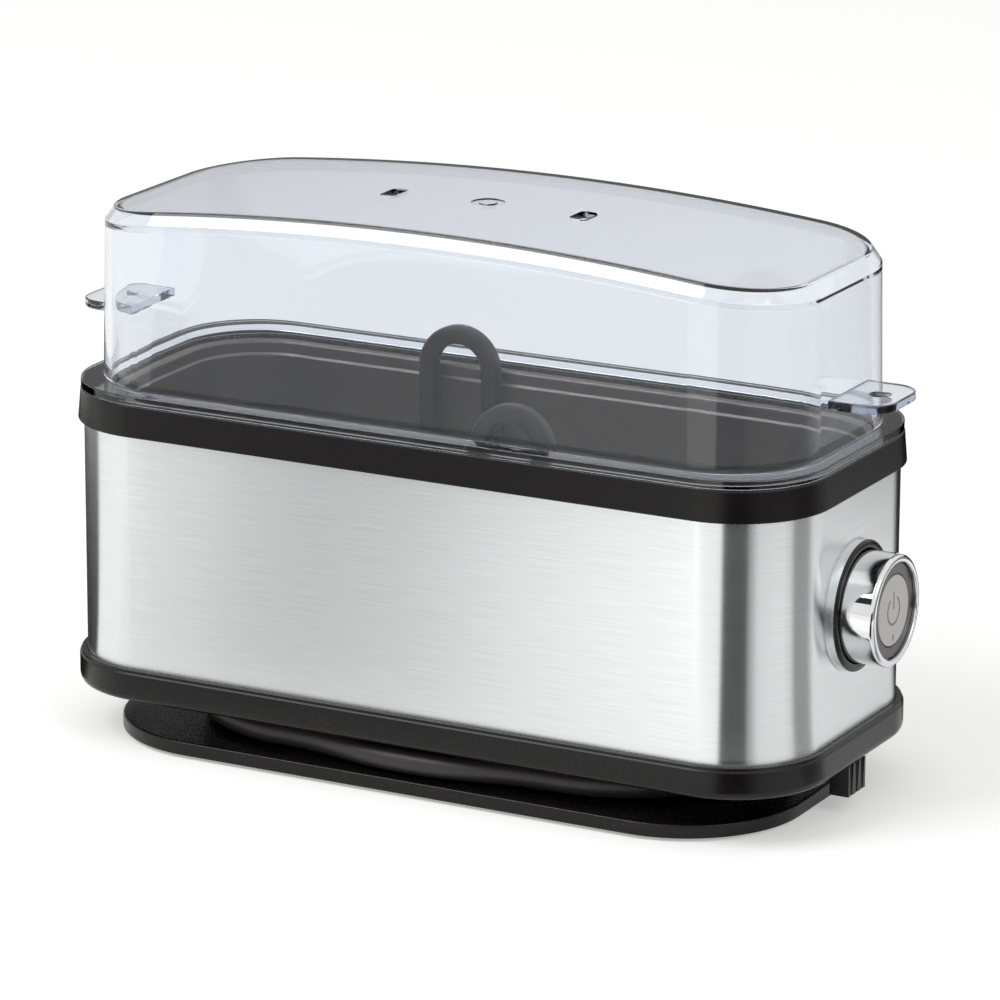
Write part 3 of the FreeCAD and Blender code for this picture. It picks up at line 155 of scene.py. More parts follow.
def card(name, columns, section):
    """A card that only reflections see: each column has a foot, a way in degrees from +X and a shade.

    The section gives each row's distance out, its height and its share of the column's shade."""
    corners, shades, rows = [], [], len(section)
    for (x, y), degrees, shade in columns:
        way = Vector((math.cos(math.radians(degrees)), math.sin(math.radians(degrees))))
        corners += [(x + reach * way.x, y + reach * way.y, up) for reach, up, share in section]
        shades += [shade * share for reach, up, share in section]
    faces = [(a, a + 1, a + rows + 1, a + rows)
             for first in range(0, len(corners) - rows, rows) for a in range(first, first + rows - 1)]
    sheet = stage_sheet(name, corners, faces, card_paper)
    sheet.data.attributes.new("shade", "FLOAT", "POINT").data.foreach_set("value", shades)
    sheet.visible_camera = False
    sheet.visible_diffuse = False
    sheet.visible_transmission = False
    sheet.visible_shadow = False


# The floor cards start close to the case, because the steel mirrors the floor beside it. They are
# darker further out, where the lid mirrors them. The front card has a grey middle and a bright right
# end, the gap card above it is for the chrome, and the sky card behind is for the lid's top.
CORNER_X, CORNER_Y, FRONT_Y = 0.077, 0.0195, -0.0425
FRONT_WAY, FRONT_DIP, DIP_AT, DIP_LEFT, DIP_RIGHT, FRONT_LIFT = -118.0, 0.37, -0.036, 0.042, 0.062, 3.2
FRONT_START, FRONT_STEP, FRONT_COLUMNS = -0.12, 0.01, 25
LAMP_AIM = Vector((0, 0, 0.07))
floor_section = [(reach, 0.001, share) for reach, share in (
    (0.05, 0.98), (0.13, 1.0), (0.23, 1.4), (0.29, 1.4), (0.33, 0.4), (1.2, 0.4))] + [(1.2, 0.16, 0.4)]
card("corner_card", [((CORNER_X, -CORNER_Y), turn, shade) for turn, shade in (
    (-80, 1.2), (-78, 0.01), (-51, 0.01), (-49, 0.3), (-38, 0.85), (-8, 0.95), (3, 0.8), (8, 0.33),
    (28, 0.36), (38, 0.9), (54, 0.9), (70, 0.7))], floor_section)
card("rear_card", [((CORNER_X, CORNER_Y), turn, shade) for turn, shade in (
    (62, 0.75), (72, 0.3), (78, 0.01), (104, 0.01))], floor_section)
card("left_card", [((-CORNER_X, -CORNER_Y), turn, shade) for turn, shade in (
    (130, 0.01), (185, 0.01), (190, 1.0))], ((0.05, 0.001, 1.0), (0.45, 0.001, 1.0)))
front_columns = []
for step in range(FRONT_COLUMNS):
    along = FRONT_START + FRONT_STEP * step
    dip = FRONT_DIP * math.exp(-((along - DIP_AT) / (DIP_LEFT if along < DIP_AT else DIP_RIGHT)) ** 2)
    front_columns.append(((along, FRONT_Y), FRONT_WAY, 1.0 - dip + FRONT_LIFT * max(along, 0.0)))
card("front_card", front_columns, floor_section)
card("gap_card", [((0.0, 0.0), turn, 0.03) for turn in (-136, -118, -100)],
     ((1.5, 0.62, 1.0), (1.5, 1.0, 1.0)))
card("sky_card", [((0.0, 0.0), turn, 0.32) for turn in range(84, 160, 8)],
     ((1.3, 0.14, 1.0), (1.3, 1.3, 1.0)))


def lamp(name, place, side, watts):
    """A square soft lamp that faces the middle of the cooker."""
    light = bpy.data.lights.new(name, "AREA")
    light.size = side
    light.energy = watts
    holder = bpy.data.objects.new(name, light)
    scene.collection.objects.link(holder)
    holder.location = place
    holder.rotation_euler = (LAMP_AIM - holder.location).to_track_quat("-Z", "Y").to_euler()


lamp("key_lamp", Vector((-0.9, -1.1, 1.7)), 1.2, 18.0)
lamp("fill_lamp", Vector((1.5, -0.5, 1.2)), 0.9, 5.0)

# Rubber feet: four discs of black rubber, each moulded with a shallow hollow in its tread.
# They are pressed into seats under the foot plate, and the cooker stands on them.
MM = 0.001
PAD_RADIUS, SEAT_SLACK = 7.0, 0.15


def box(node):
    """A node's lowest and highest corners, in millimetres."""
    low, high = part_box(node)
    return low / MM, high / MM


def rounded(corners, steps=4):
    """A section's points in millimetres, with each corner (out, up, radius) softened by its radius."""
    points = []
    for number, (out, up, radius) in enumerate(corners):
        here = Vector((out, up))
        if not radius:
            points.append(here)
            continue
        before = Vector(corners[number - 1][:2])
        after = Vector(corners[(number + 1) % len(corners)][:2])
        start = here + (before - here).normalized() * radius
        end = here + (after - here).normalized() * radius
        for step in range(steps + 1):
            share = step / steps
            points.append(start * (1 - share) ** 2 + here * 2 * share * (1 - share) + end * share ** 2)
    return points


def linked(name, build):
    """An object in the scene from a finished bmesh."""
    mesh = bpy.data.meshes.new(name)
    build.to_mesh(mesh)
    build.free()
    piece = bpy.data.objects.new(name, mesh)
    scene.collection.objects.link(piece)
    return piece


def smooth(mesh, angle=32):
    """Smooth faces, with the edges kept sharp where they turn by more than the angle."""
    mesh.polygons.foreach_set("use_smooth", [True] * len(mesh.polygons))
    mesh.set_sharp_from_angle(angle=math.radians(angle))
    return mesh


def shell(name, rings, closed=False, rungs=False):
    """A mesh through rings of points in millimetres, with a UV map in metres round and along it.

    A closed section joins its last ring to its first, and an open one is capped at both ends,
    by one face or by rungs from the front half of the ring to its rear half."""
    build = bmesh.new()
    uv = build.loops.layers.uv.new("surface")
    rows = [[build.verts.new(Vector(point) * MM) for point in ring] for ring in rings]
    count = len(rows[0])
    pairs = list(zip(rows, rows[1:]))
    if closed:
        pairs.append((rows[-1], rows[0]))
    along = 0.0
    for low, high in pairs:
        rise = (high[0].co - low[0].co).length
        reach = 0.0
        for i in range(count):
            k = (i + 1) % count
            step = (low[k].co - low[i].co).length
            far = reach + step
            face = build.faces.new((low[i], low[k], high[k], high[i]))
            corners = ((reach, along), (far, along), (far, along + rise), (reach, along + rise))
            for loop, corner in zip(face.loops, corners):
                loop[uv].uv = corner
            reach = far
        along += rise
    if not closed:
        for row in (rows[0], rows[-1]):
            if rungs:
                for i in range(count // 2 - 1):
                    build.faces.new((row[i], row[i + 1], row[count - 2 - i], row[count - 1 - i]))
            else:
                build.faces.new(row)
    bmesh.ops.recalc_face_normals(build, faces=build.faces)
    piece = linked(name, build)
    smooth(piece.data)
    return piece


def four(x, y, z=0.0):
    """The four places at plus and minus x and y."""
    return [(sx * x, sy * y, z) for sx in (-1, 1) for sy in (-1, 1)]


def turned(name, corners, steps=64, closed=False):
    """A piece turned about the Z axis from a section of (radius, height, edge radius)."""
    turns = [2 * math.pi * step / steps for step in range(steps)]
    return shell(name, [[(r * math.cos(a), r * math.sin(a), z) for a in turns] for r, z in rounded(corners)],
                 closed)


def finished(name, source):
    """A piece whose mesh is the source's, with its modifiers and its place worked into it."""
    bpy.context.view_layer.update()
    depsgraph = bpy.context.evaluated_depsgraph_get()
    mesh = bpy.data.meshes.new_from_object(source.evaluated_get(depsgraph), depsgraph=depsgraph)
    mesh.transform(source.matrix_world)
    bpy.data.objects.remove(source)
    piece = bpy.data.objects.new(name, mesh)
    scene.collection.objects.link(piece)
    return piece


def node_group(name, kinds):
    """A geometry node group, its inputs, and the identifier of each input."""
    tree = bpy.data.node_groups.new(name, "GeometryNodeTree")
    keys = {}
    for label, kind in kinds.items():
        socket = tree.interface.new_socket(label, in_out="INPUT", socket_type="NodeSocket" + kind)
        keys[label] = socket.identifier
    tree.interface.new_socket("Made", in_out="OUTPUT", socket_type="NodeSocketGeometry")
    return tree, add(tree, "NodeGroupInput").outputs, keys


def grown(name, mesh, tree, made, given, values):
    """The piece that a node group makes from a mesh, in its finish, as one plain mesh.

    The values are those of its inputs, by identifier."""
    real = add(tree, "GeometryNodeRealizeInstances", {}, {"Geometry": made.outputs[0]})
    dressed = add(tree, "GeometryNodeSetMaterial", {}, {
        "Geometry": real.outputs[0], "Material": given["Finish"]})
    add(tree, "NodeGroupOutput", {}, {"Made": dressed.outputs[0]})
    holder = bpy.data.objects.new(name + "_holder", mesh)
    scene.collection.objects.link(holder)
    modifier = holder.modifiers.new("grown", "NODES")
    modifier.node_group = tree
    for key, value in values.items():
        modifier[key] = value
    return finished(name, holder)


def copies(name, shape, places, material, turn=0.0, seed=3):
    """The same shape at each place in millimetres, each turned a little about Z, as one plain mesh."""
    tree, given, keys = node_group("placed_copies", {
        "Places": "Geometry", "Shape": "Object", "Finish": "Material", "Turn": "Float", "Seed": "Int"})
    info = add(tree, "GeometryNodeObjectInfo", {}, {"Object": given["Shape"], "As Instance": True})
    least = add(tree, "ShaderNodeMath", {"operation": "MULTIPLY"}, {0: given["Turn"], 1: -1.0})
    chance = add(tree, "FunctionNodeRandomValue", {"data_type": "FLOAT"}, {
        2: least.outputs[0], 3: given["Turn"], "Seed": given["Seed"]})
    turns = add(tree, "ShaderNodeCombineXYZ", {}, {"Z": chance.outputs[1]})
    placed = add(tree, "GeometryNodeInstanceOnPoints", {}, {
        "Points": given["Places"], "Instance": info.outputs["Geometry"], "Rotation": turns.outputs[0]})
    mesh = bpy.data.meshes.new(name + "_places")
    mesh.from_pydata([Vector(place) * MM for place in places], [], [])
    piece = grown(name, mesh, tree, placed, given, {
        keys["Shape"]: shape, keys["Finish"]: material, keys["Turn"]: turn, keys["Seed"]: seed})
    bpy.data.objects.remove(shape)
    return piece


def noise(tree, place, size, detail):
    """Noise with lumps of a size in millimetres, from 0 to 1."""
    return add(tree, "ShaderNodeTexNoise", {}, {
        "Vector": place, "Scale": 1 / (size * MM), "Detail": detail}).outputs[0]


def blend(tree, share, colour, deep):
    """A colour between two hex colours."""
    return add(tree, "ShaderNodeMix", {"data_type": "RGBA"}, {
        0: share, 6: linear(colour), 7: linear(deep)}).outputs[2]


def moulded(name, colour, deep, roughness, grain, relief, shine=0.5):
    """Moulded plastic or rubber: two close shades in soft clouds, and a grain in gloss and relief."""
    cloud_size, gloss_spread, relief_depth = 14.0, 0.05, 0.05
    material, tree = clear_material(name)
    place = add(tree, "ShaderNodeTexCoord").outputs["Object"]
    grit = noise(tree, place, grain, 2.0)
    bump = add(tree, "ShaderNodeBump", {}, {
        "Strength": relief, "Distance": relief_depth * MM, "Height": grit})
    surface(tree, add(tree, "ShaderNodeBsdfPrincipled", {}, {
        "Base Color": blend(tree, noise(tree, place, cloud_size, 3.0), colour, deep),
        "Roughness": between(tree, grit, roughness - gloss_spread, roughness + gloss_spread),
        "Normal": bump.outputs[0], "Specular IOR Level": shine}))
    return material


def wear(piece, material):
    """Give a piece, or a carried-over node, one finish all over."""
    if piece.material_slots:
        for slot in piece.material_slots:
            slot.material = material
    else:
        piece.data.materials.append(material)
    return piece


def crisp(piece):
    """Keep wide faces flat to the light, so that only the small edges between them look round."""
    piece.modifiers.new("flat_faces", "WEIGHTED_NORMAL").keep_sharp = True
    return piece


def fit(piece, body, slot, *nodes):
    """The piece rides on a body and stands for its nodes, which it hides; the slot is not used."""
    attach(piece, body)
    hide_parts(*nodes)
    return piece


# Black rubber is matt, with a dry grain that takes nearly all the gloss away.
black_rubber = moulded("black_rubber", "#1d1c1c", "#141313", 0.72, 0.5, 0.5)
low, high = box("rubber_feet")
foot_places = four(high.x - PAD_RADIUS, high.y - PAD_RADIUS)
foot_disc = turned("foot_disc", [
    (2.6, low.z + 0.4, 0), (3.2, low.z, 0.3), (PAD_RADIUS, low.z, 0.7), (PAD_RADIUS, high.z, 0.2),
    (5.0, high.z, 0)])
fit(copies("foot_discs", foot_disc, foot_places, black_rubber), "base", "rubber", "rubber_feet")

# Foot plate: black ABS moulding, a flat plate with a long core that the cord is wound round.
# Four screws from below pull its core up against the underside of the base tray.
PLATE_CORNER, PLATE_EDGE, PLATE_THICKNESS = 31.0, 0.4, 3.5
CORE_FROM_ENDS, CORE_FROM_SIDES, CORE_FOOT = 30.25, 20.5, 0.8
CORNER_STEPS, SIDE_STEPS = 16, 24
FOOT_SCREW = (50.0, 8.0)
SCREW_HEAD, SCREW_HEAD_HEIGHT, HEAD_SLACK = 2.7, 2.0, 0.2
CARVE_MERGE = 0.001


def ring(outline, grow, level):
    """Points round a rounded rectangle (length, width, corner), grown all round, at a level or a curve.

    The front half comes first, left to right, and the rear half is its mirror image."""
    length, width, corner = outline
    x, y, r = length / 2 + grow, width / 2 + grow, corner + grow
    quarter = [math.pi / 2 * step / CORNER_STEPS for step in range(CORNER_STEPS + 1)]
    front = [(-x + r - r * math.cos(a), -y + r - r * math.sin(a)) for a in quarter]
    front += [(-x + r + 2 * (x - r) * step / SIDE_STEPS, -y) for step in range(1, SIDE_STEPS)]
    front += [(x - r + r * math.sin(a), -y + r - r * math.cos(a)) for a in quarter]
    around = front + [(px, -py) for px, py in reversed(front)]
    return [(px, py, level(px) if callable(level) else level) for px, py in around]


def lofted(outline, corners):
    """Rings of one outline through a section of (out, up, edge radius)."""
    return [ring(outline, out, up) for out, up in rounded(corners)]


def drills(name, places, radius, bottom, top, steps=40):
    """Cutting cylinders that stand at each place in millimetres, as one object."""
    build = bmesh.new()
    for x, y, z in places:
        made = bmesh.ops.create_cone(build, cap_ends=True, segments=steps, radius1=radius * MM,
                                     radius2=radius * MM, depth=(top - bottom) * MM)
        bmesh.ops.translate(build, verts=made["verts"], vec=Vector((x, y, (bottom + top) / 2)) * MM)
    return linked(name, build)


def carve(piece, tool, operation="DIFFERENCE"):
    """Cut a tool out of a piece, or join it on, and keep the result as a plain mesh."""
    change = piece.modifiers.new("carve", "BOOLEAN")
    change.object = tool
    change.operation = operation
    change.solver = "EXACT"
    depsgraph = bpy.context.evaluated_depsgraph_get()
    mesh = bpy.data.meshes.new_from_object(piece.evaluated_get(depsgraph), depsgraph=depsgraph)
    piece.modifiers.remove(change)
    build = bmesh.new()
    build.from_mesh(mesh)
    bmesh.ops.remove_doubles(build, verts=build.verts, dist=CARVE_MERGE * MM)
    bmesh.ops.dissolve_degenerate(build, edges=build.edges, dist=CARVE_MERGE * MM)
    build.to_mesh(mesh)
    build.free()
    piece.data = smooth(mesh)
    bpy.data.objects.remove(tool)
    return piece


# Black ABS from a spark-eroded mould: a warm near-black with a satin gloss and a very fine grain.
# The grain is drawn at 0.6 mm, coarser than real, so that it shows.
satin_black = moulded("satin_black_abs", "#120e0e", "#0d0a0a", 0.27, 0.6, 0.03, shine=0.3)
low, high = box("foot_plate")
PLATE = (high.x - low.x, high.y - low.y, PLATE_CORNER)
CORE_WIDTH = PLATE[1] - 2 * CORE_FROM_SIDES
CORE = (PLATE[0] - 2 * CORE_FROM_ENDS, CORE_WIDTH, CORE_WIDTH / 2 - SEAT_SLACK)
plate_bottom, plate_top, core_top = low.z, low.z + PLATE_THICKNESS, high.z
foot_plate = shell("foot_plate_moulding", lofted(PLATE, [
    (-8.0, plate_bottom, 0), (0, plate_bottom, PLATE_EDGE),
    (0, plate_top, 0.7), (-3.0, plate_top, 0)]) + lofted(CORE, [
        (4.0, plate_top, 0), (0, plate_top, CORE_FOOT), (0, core_top, 0)]))
carve(foot_plate, drills("pad_seats", foot_places, PAD_RADIUS + SEAT_SLACK, -1.0, box("rubber_feet")[1].z))
carve(foot_plate, drills("head_seats", four(*FOOT_SCREW), SCREW_HEAD + HEAD_SLACK, -1.0,
                         plate_bottom + SCREW_HEAD_HEIGHT))
fit(crisp(wear(foot_plate, satin_black)), "base", "black_plastic", "foot_plate")

# Screws: zinc-plated pan-head screws with a cross recess, cold headed and rolled.
# Four hold the foot plate to the tray, and four longer ones pull the collar down on the shell.
SCREW_SHANK, CASE_SCREW = 1.4, (90.1, 32.6)


def metal(name, colour, deep, roughness, grain, stretch=(1.0, 1.0, 1.0)):
    """Bare or plated metal: two close shades and an uneven gloss, drawn out along the way it was worked."""
    gloss_spread = 0.3
    material, tree = clear_material(name)
    place = add(tree, "ShaderNodeTexCoord").outputs["Object"]
    drawn = add(tree, "ShaderNodeMapping", {}, {"Vector": place, "Scale": stretch})
    streaks = noise(tree, drawn.outputs[0], grain, 4.0)
    surface(tree, add(tree, "ShaderNodeBsdfPrincipled", {}, {
        "Base Color": blend(tree, streaks, colour, deep), "Metallic": 1.0,
        "Roughness": between(tree, streaks, roughness * (1 - gloss_spread), roughness * (1 + gloss_spread))}))
    return material


def screw(name, length):
    """A screw with its head down: domed head with a cross cut in it, and a plain shank."""
    head, neck = SCREW_HEAD, SCREW_HEAD_HEIGHT
    piece = turned(name, [
        (0.6, 0, 0), (head * 0.75, 0, 0), (head, neck * 0.45, 0.3), (head, neck, 0.1),
        (SCREW_SHANK, neck, 0.1), (SCREW_SHANK, length - 0.8, 0), (0.5, length, 0)], steps=24)
    for number in (0, 1):
        build = bmesh.new()
        bmesh.ops.create_cube(build, size=1.0)
        bmesh.ops.scale(build, verts=build.verts, vec=Vector((head * 1.2, head * 0.3, 1.8)) * MM)
        bmesh.ops.rotate(build, verts=build.verts, matrix=Matrix.Rotation(number * math.pi / 2, 3, "Z"))
        carve(piece, linked("cross_slot", build))
    return piece


# Zinc plate is a pale blue-grey metal, a little cloudy from the bath.
zinc_plate = metal("bright_zinc_plate", "#c3c6c8", "#a9adb0", 0.3, 2.0)
for node, place in (("foot_screws", FOOT_SCREW), ("case_screws", CASE_SCREW)):
    low, high = box(node)
    shape = screw(node + "_shape", high.z - low.z)
    driven = copies(node + "_set", shape, four(*place, low.z), zinc_plate, turn=math.pi)
    fit(driven, "base", "zinc_steel", node)

# Base tray: black ABS moulding, the lower collar of the case and the floor that carries the works.
# A groove round its rim takes the steel shell, and a fine step runs under its top edge.
TRAY_CORNER, TRAY_UNDER_EDGE = 25.0, 2.2
LIP_HEIGHT, RIM_RISE, TRAY_FLOOR, GROOVE_DEPTH = 8.2, 4.0, 2.7, 3.5
STEP_DROP, STEP_DEPTH = 1.1, 0.4
GROOVE_OUT, GROOVE_IN, RIM_IN = -1.85, -2.95, -4.55

low, high = box("base_tray")
TRAY = (high.x - low.x, high.y - low.y, TRAY_CORNER)
tray_bottom, lip_top = low.z, low.z + LIP_HEIGHT
tray_floor, groove_floor, rim_level = tray_bottom + TRAY_FLOOR, lip_top - GROOVE_DEPTH, lip_top + RIM_RISE
base_tray = shell("base_tray_moulding", lofted(TRAY, [
    (-10.0, tray_bottom, 0), (0, tray_bottom, TRAY_UNDER_EDGE), (0, lip_top - STEP_DROP, 0.12),
    (-STEP_DEPTH, lip_top - STEP_DROP + STEP_DEPTH, 0.12), (-STEP_DEPTH, lip_top, 0.3),
    (GROOVE_OUT, lip_top, 0.1), (GROOVE_OUT, groove_floor, 0), (GROOVE_IN, groove_floor, 0),
    (GROOVE_IN, rim_level, 0.2), (RIM_IN, rim_level, 0.2), (RIM_IN, tray_floor, 0.4),
    (-12.0, tray_floor, 0)]))
carve(base_tray, drills("case_head_seats", four(*CASE_SCREW), SCREW_HEAD + HEAD_SLACK, tray_bottom - 1.0,
                        tray_bottom + SCREW_HEAD_HEIGHT))
fit(crisp(wear(base_tray, satin_black)), "base", "black_plastic", "base_tray")

# Cord stop and gland: small black ABS mouldings under the tray.
# The fluted stop clips in at the button end and keeps the wound cord in its store, and the gland's
# tapered boot guides the cord out of the core.
for node in ("cord_stop", "cord_gland"):
    wear(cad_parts[node], satin_black)

# Mains cord: grey PVC flex, 6 mm across and about 0.78 m long, wound twice round the core.
# It leaves the gland's boot along the rear of the core and ends in the plug behind the case.
CORD_DIAMETER, CORD_LENGTH = 6.0, 0.785
CORD_LEVEL, CORD_START = 7.9, (8.0, 27.6)
TURN_CENTRE, TURN_PITCH, FRONT_SLACK, BOW, BOW_HALF = 38.0, 6.8, 1.0, 4.8, 10.0
WINDING_TURNS, TURN_POINTS = 2, 6
PLUG_ENTRY, PLUG_TILT, PLUG_LEAD = Vector((-46.0, 64.5, 7.75)), math.radians(14.8), 18.0
PLUG_AHEAD = Vector((-math.cos(PLUG_TILT), 0, math.sin(PLUG_TILT)))


def half_turn(side, start, end):
    """Control points of a half turn round one end of the core, from one run's level to the next run's.

    They are the corners of the polygon that the turn touches, with one point on each run beside it."""
    radius, middle = abs(end - start) / 2, (start + end) / 2
    way = 1 if start > end else -1
    step = math.pi / TURN_POINTS
    lead = radius * math.tan(step / 2)
    points = [(side * (TURN_CENTRE - lead), start)]
    for number in range(TURN_POINTS):
        angle = (number + 0.5) * step
        reach = radius / math.cos(step / 2)
        points.append((side * (TURN_CENTRE + reach * math.sin(angle)),
                       middle + way * reach * math.cos(angle)))
    return points + [(side * (TURN_CENTRE - lead), end)]


route = [CORD_START]
for turn in range(WINDING_TURNS):
    rear = CORD_START[1] + turn * TURN_PITCH
    front = -(CORD_START[1] + FRONT_SLACK + turn * TURN_PITCH)
    route += half_turn(-1, rear, front)
    if turn == WINDING_TURNS - 1:
        route += [(-BOW_HALF, front - BOW), (BOW_HALF, front - BOW)]
    route += half_turn(1, front, rear + TURN_PITCH)
route = [Vector((x, y, CORD_LEVEL)) for x, y in route]
route += [Vector(point) for point in ((16.0, 41.2, CORD_LEVEL), (0.5, 48.8, CORD_LEVEL), (-13.0, 59.0, 3.2))]
route += [PLUG_ENTRY - PLUG_AHEAD * PLUG_LEAD, PLUG_ENTRY]

line = bpy.data.curves.new("mains_cord", "CURVE")
line.dimensions = "3D"
line.bevel_depth = CORD_DIAMETER / 2 * MM
line.bevel_resolution = 6
line.resolution_u = 8
line.use_fill_caps = True
spline = line.splines.new("NURBS")
spline.points.add(len(route) - 1)
for point, place in zip(spline.points, route):
    point.co = (*(place * MM), 1.0)
spline.order_u = 3
spline.use_endpoint_u = True
mains_cord = bpy.data.objects.new("mains_cord", line)
scene.collection.objects.link(mains_cord)

# Flexible PVC is a soft grey with a low sheen, and a faint orange-peel from the extruder.
grey_pvc = moulded("grey_pvc_sheath", "#332f2f", "#282525", 0.42, 1.2, 0.15)
wear(mains_cord, grey_pvc)
fit(mains_cord, "base", "cord_grey", "cord_winding", "cord_tail")

# Mains plug: black PVC moulded over two nickel-plated pins, with sprung brass earth contacts at its edges.
# It lies tilted on the table close behind the case, at the cord's far end.
nickel_plate = metal("nickel_plate", "#d2cdc2", "#bdb8ad", 0.18, 3.0)
spring_brass = metal("rolled_spring_brass", "#c9a55c", "#a98644", 0.3, 1.5, (0.2, 1.0, 1.0))
plug_pvc = moulded("black_pvc_overmould", "#232121", "#1a1818", 0.5, 0.8, 0.25)
for node, finish in (("mains_plug", plug_pvc), ("plug_pins", nickel_plate), ("earth_contacts", spring_brass)):
    wear(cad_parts[node], finish)

# Works inside the case: supply block, leads, switch on its bracket, lamp board, heater and its guards.
# They stand on the tray or hang under the pan, and only a dismantled cooker shows them.
white_nylon = moulded("natural_white_nylon", "#e4e1d8", "#d6d2c6", 0.45, 1.0, 0.15)
black_phenolic = moulded("black_phenolic_switch_case", "#262423", "#1d1b1b", 0.4, 0.8, 0.2)
board_laminate = moulded("green_epoxy_laminate", "#2c6a40", "#225433", 0.35, 0.4, 0.3)
lamp_epoxy = moulded("water_clear_lamp_epoxy", "#e8ece6", "#d5dad2", 0.15, 2.0, 0.05)
glazed_ceramic = moulded("white_steatite_ceramic", "#eae6dc", "#dcd7ca", 0.5, 0.6, 0.3)
brown_lead = moulded("brown_silicone_lead", "#6a3f28", "#57331f", 0.45, 1.0, 0.1)
blue_lead = moulded("blue_silicone_lead", "#2f5fae", "#274f93", 0.45, 1.0, 0.1)
white_sleeve = moulded("white_glass_fibre_sleeve", "#dedbd2", "#c4c0b4", 0.7, 0.5, 0.6)
earth_lead = moulded("green_and_yellow_lead", "#c9b92e", "#3f8a3a", 0.45, 1.0, 0.1)
rolled_aluminium = metal("rolled_aluminium", "#c9cbcc", "#b3b6b8", 0.35, 1.2, (0.06, 1.0, 1.0))
sheath_steel = metal("heat_blued_sheath_steel", "#8d8a86", "#6c6765", 0.4, 2.0)
spring_wire = metal("drawn_spring_wire", "#b9bcc0", "#9a9da1", 0.22, 1.0)
WORKS = {
    "inner_cord": grey_pvc, "terminal_block": white_nylon, "button_stem": white_nylon,
    "switch_body": black_phenolic, "switch_bracket": zinc_plate, "lamp_board": board_laminate,
    "status_lamp": lamp_epoxy, "heater_plate": rolled_aluminium, "heating_element": sheath_steel,
    "element_bushes": glazed_ceramic, "element_pins": zinc_plate, "thermostat_bracket": zinc_plate,
    "bracket_screws": zinc_plate, "thermostat": rolled_aluminium, "thermal_fuse": white_sleeve,
    "pan_studs": zinc_plate, "stud_nuts": zinc_plate, "live_lead": brown_lead, "neutral_lead": blue_lead,
    "switch_lead": brown_lead, "heater_lead": white_sleeve, "earth_lead": earth_lead,
}
for node, finish in WORKS.items():
    wear(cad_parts[node], finish)

# Steel shell: 0.8 mm stainless sheet, brushed round the case, rolled to a sleeve and welded at the back.
# It stands in the grooves of the tray and the collar. At its right end the hole for the button is punched,
# and its edge is drawn out to a low lip that carries the bezel.
BODY_CORNER, STEEL_WALL = 23.0, 0.8
BRUSH_LINE, BRUSH_LENGTH, BAND_LINE, BAND_LENGTH = 0.28, 16.0, 4.0, 90.0
BUTTON_HOLE, DRAWN_LIP, DRAWN_ROOT = 15.15, (15.4, 15.95, 1.35), -0.5

low, high = box("steel_shell")
BODY = (high.x - low.x, high.y - low.y, BODY_CORNER)
steel_shell = shell("steel_sleeve", lofted(BODY, [
    (0, low.z, 0), (0, high.z, 0), (-STEEL_WALL, high.z, 0), (-STEEL_WALL, low.z, 0)]), closed=True)
button_low, button_high = box("button_cap")
button_axis = (button_low.z + button_high.z) / 2


def along_button(piece, start):
    """Turn a piece from the Z axis to the button's axis, with its foot at a place along X."""
    place = Matrix.Translation(Vector((start, 0, button_axis)) * MM)
    piece.data.transform(place @ Matrix.Rotation(math.pi / 2, 4, "Y"))
    return piece


hole = drills("button_hole", [(0, 0, 0)], BUTTON_HOLE, -10.0, 10.0, steps=64)
carve(steel_shell, along_button(hole, high.x))
inner, outer, rise = DRAWN_LIP
lip = turned("drawn_lip", [
    (inner, DRAWN_ROOT, 0), (outer, DRAWN_ROOT, 0), (outer, rise, 0.2), (inner, rise, 0.1)],
    steps=96, closed=True)
carve(steel_shell, along_button(lip, high.x), "UNION")

# Brushed stainless: reflections are smeared across the brush lines, which run round the case.
# The lines are drawn at 0.28 mm, about a pixel, so that they show.
brushed_steel, tree = clear_material("brushed_stainless_steel")
around = add(tree, "ShaderNodeUVMap", {"uv_map": "surface"}).outputs[0]
drawn = add(tree, "ShaderNodeMapping", {}, {
    "Vector": around, "Scale": (1 / (BRUSH_LENGTH * MM), 1 / (BRUSH_LINE * MM), 1.0)})
lines = add(tree, "ShaderNodeTexNoise", {}, {"Vector": drawn.outputs[0], "Scale": 1.0, "Detail": 3.0})
broad = add(tree, "ShaderNodeMapping", {}, {
    "Vector": around, "Scale": (1 / (BAND_LENGTH * MM), 1 / (BAND_LINE * MM), 1.0)})
bands = add(tree, "ShaderNodeTexNoise", {}, {"Vector": broad.outputs[0], "Scale": 1.0, "Detail": 2.0})
bump = add(tree, "ShaderNodeBump", {}, {"Strength": 0.25, "Distance": 0.02 * MM, "Height": lines.outputs[0]})
tangent = add(tree, "ShaderNodeTangent", {"direction_type": "UV_MAP", "uv_map": "surface"})
surface(tree, add(tree, "ShaderNodeBsdfPrincipled", {}, {
    "Base Color": blend(tree, lines.outputs[0], "#d3d7d6", "#e9ecec"), "Metallic": 1.0,
    "Roughness": between(tree, bands.outputs[0], 0.23, 0.26), "Anisotropic": 0.9,
    "Anisotropic Rotation": 0.25, "Normal": bump.outputs[0], "Tangent": tangent.outputs[0]}))
fit(crisp(wear(steel_shell, brushed_steel)), "base", "brushed_steel", "steel_shell")

# Top collar: black ABS ring on the shell's upper edge, tapered a little towards the top.
# A seat inside it centres the lid, and a ledge below that carries the pan's rim on its gasket.
COLLAR_OVERHANG, COLLAR_HEIGHT, COLLAR_TAPER, COLLAR_EDGE = 1.5, 8.0, 0.7, 0.7
SEAT_DEPTH, LID_CORNER, LID_INSET, LID_SEAT_GAP = 3.0, 24.2, (3.0, 3.7), 0.3
PAN_OPENING = (185.6, 69.2, 20.0)

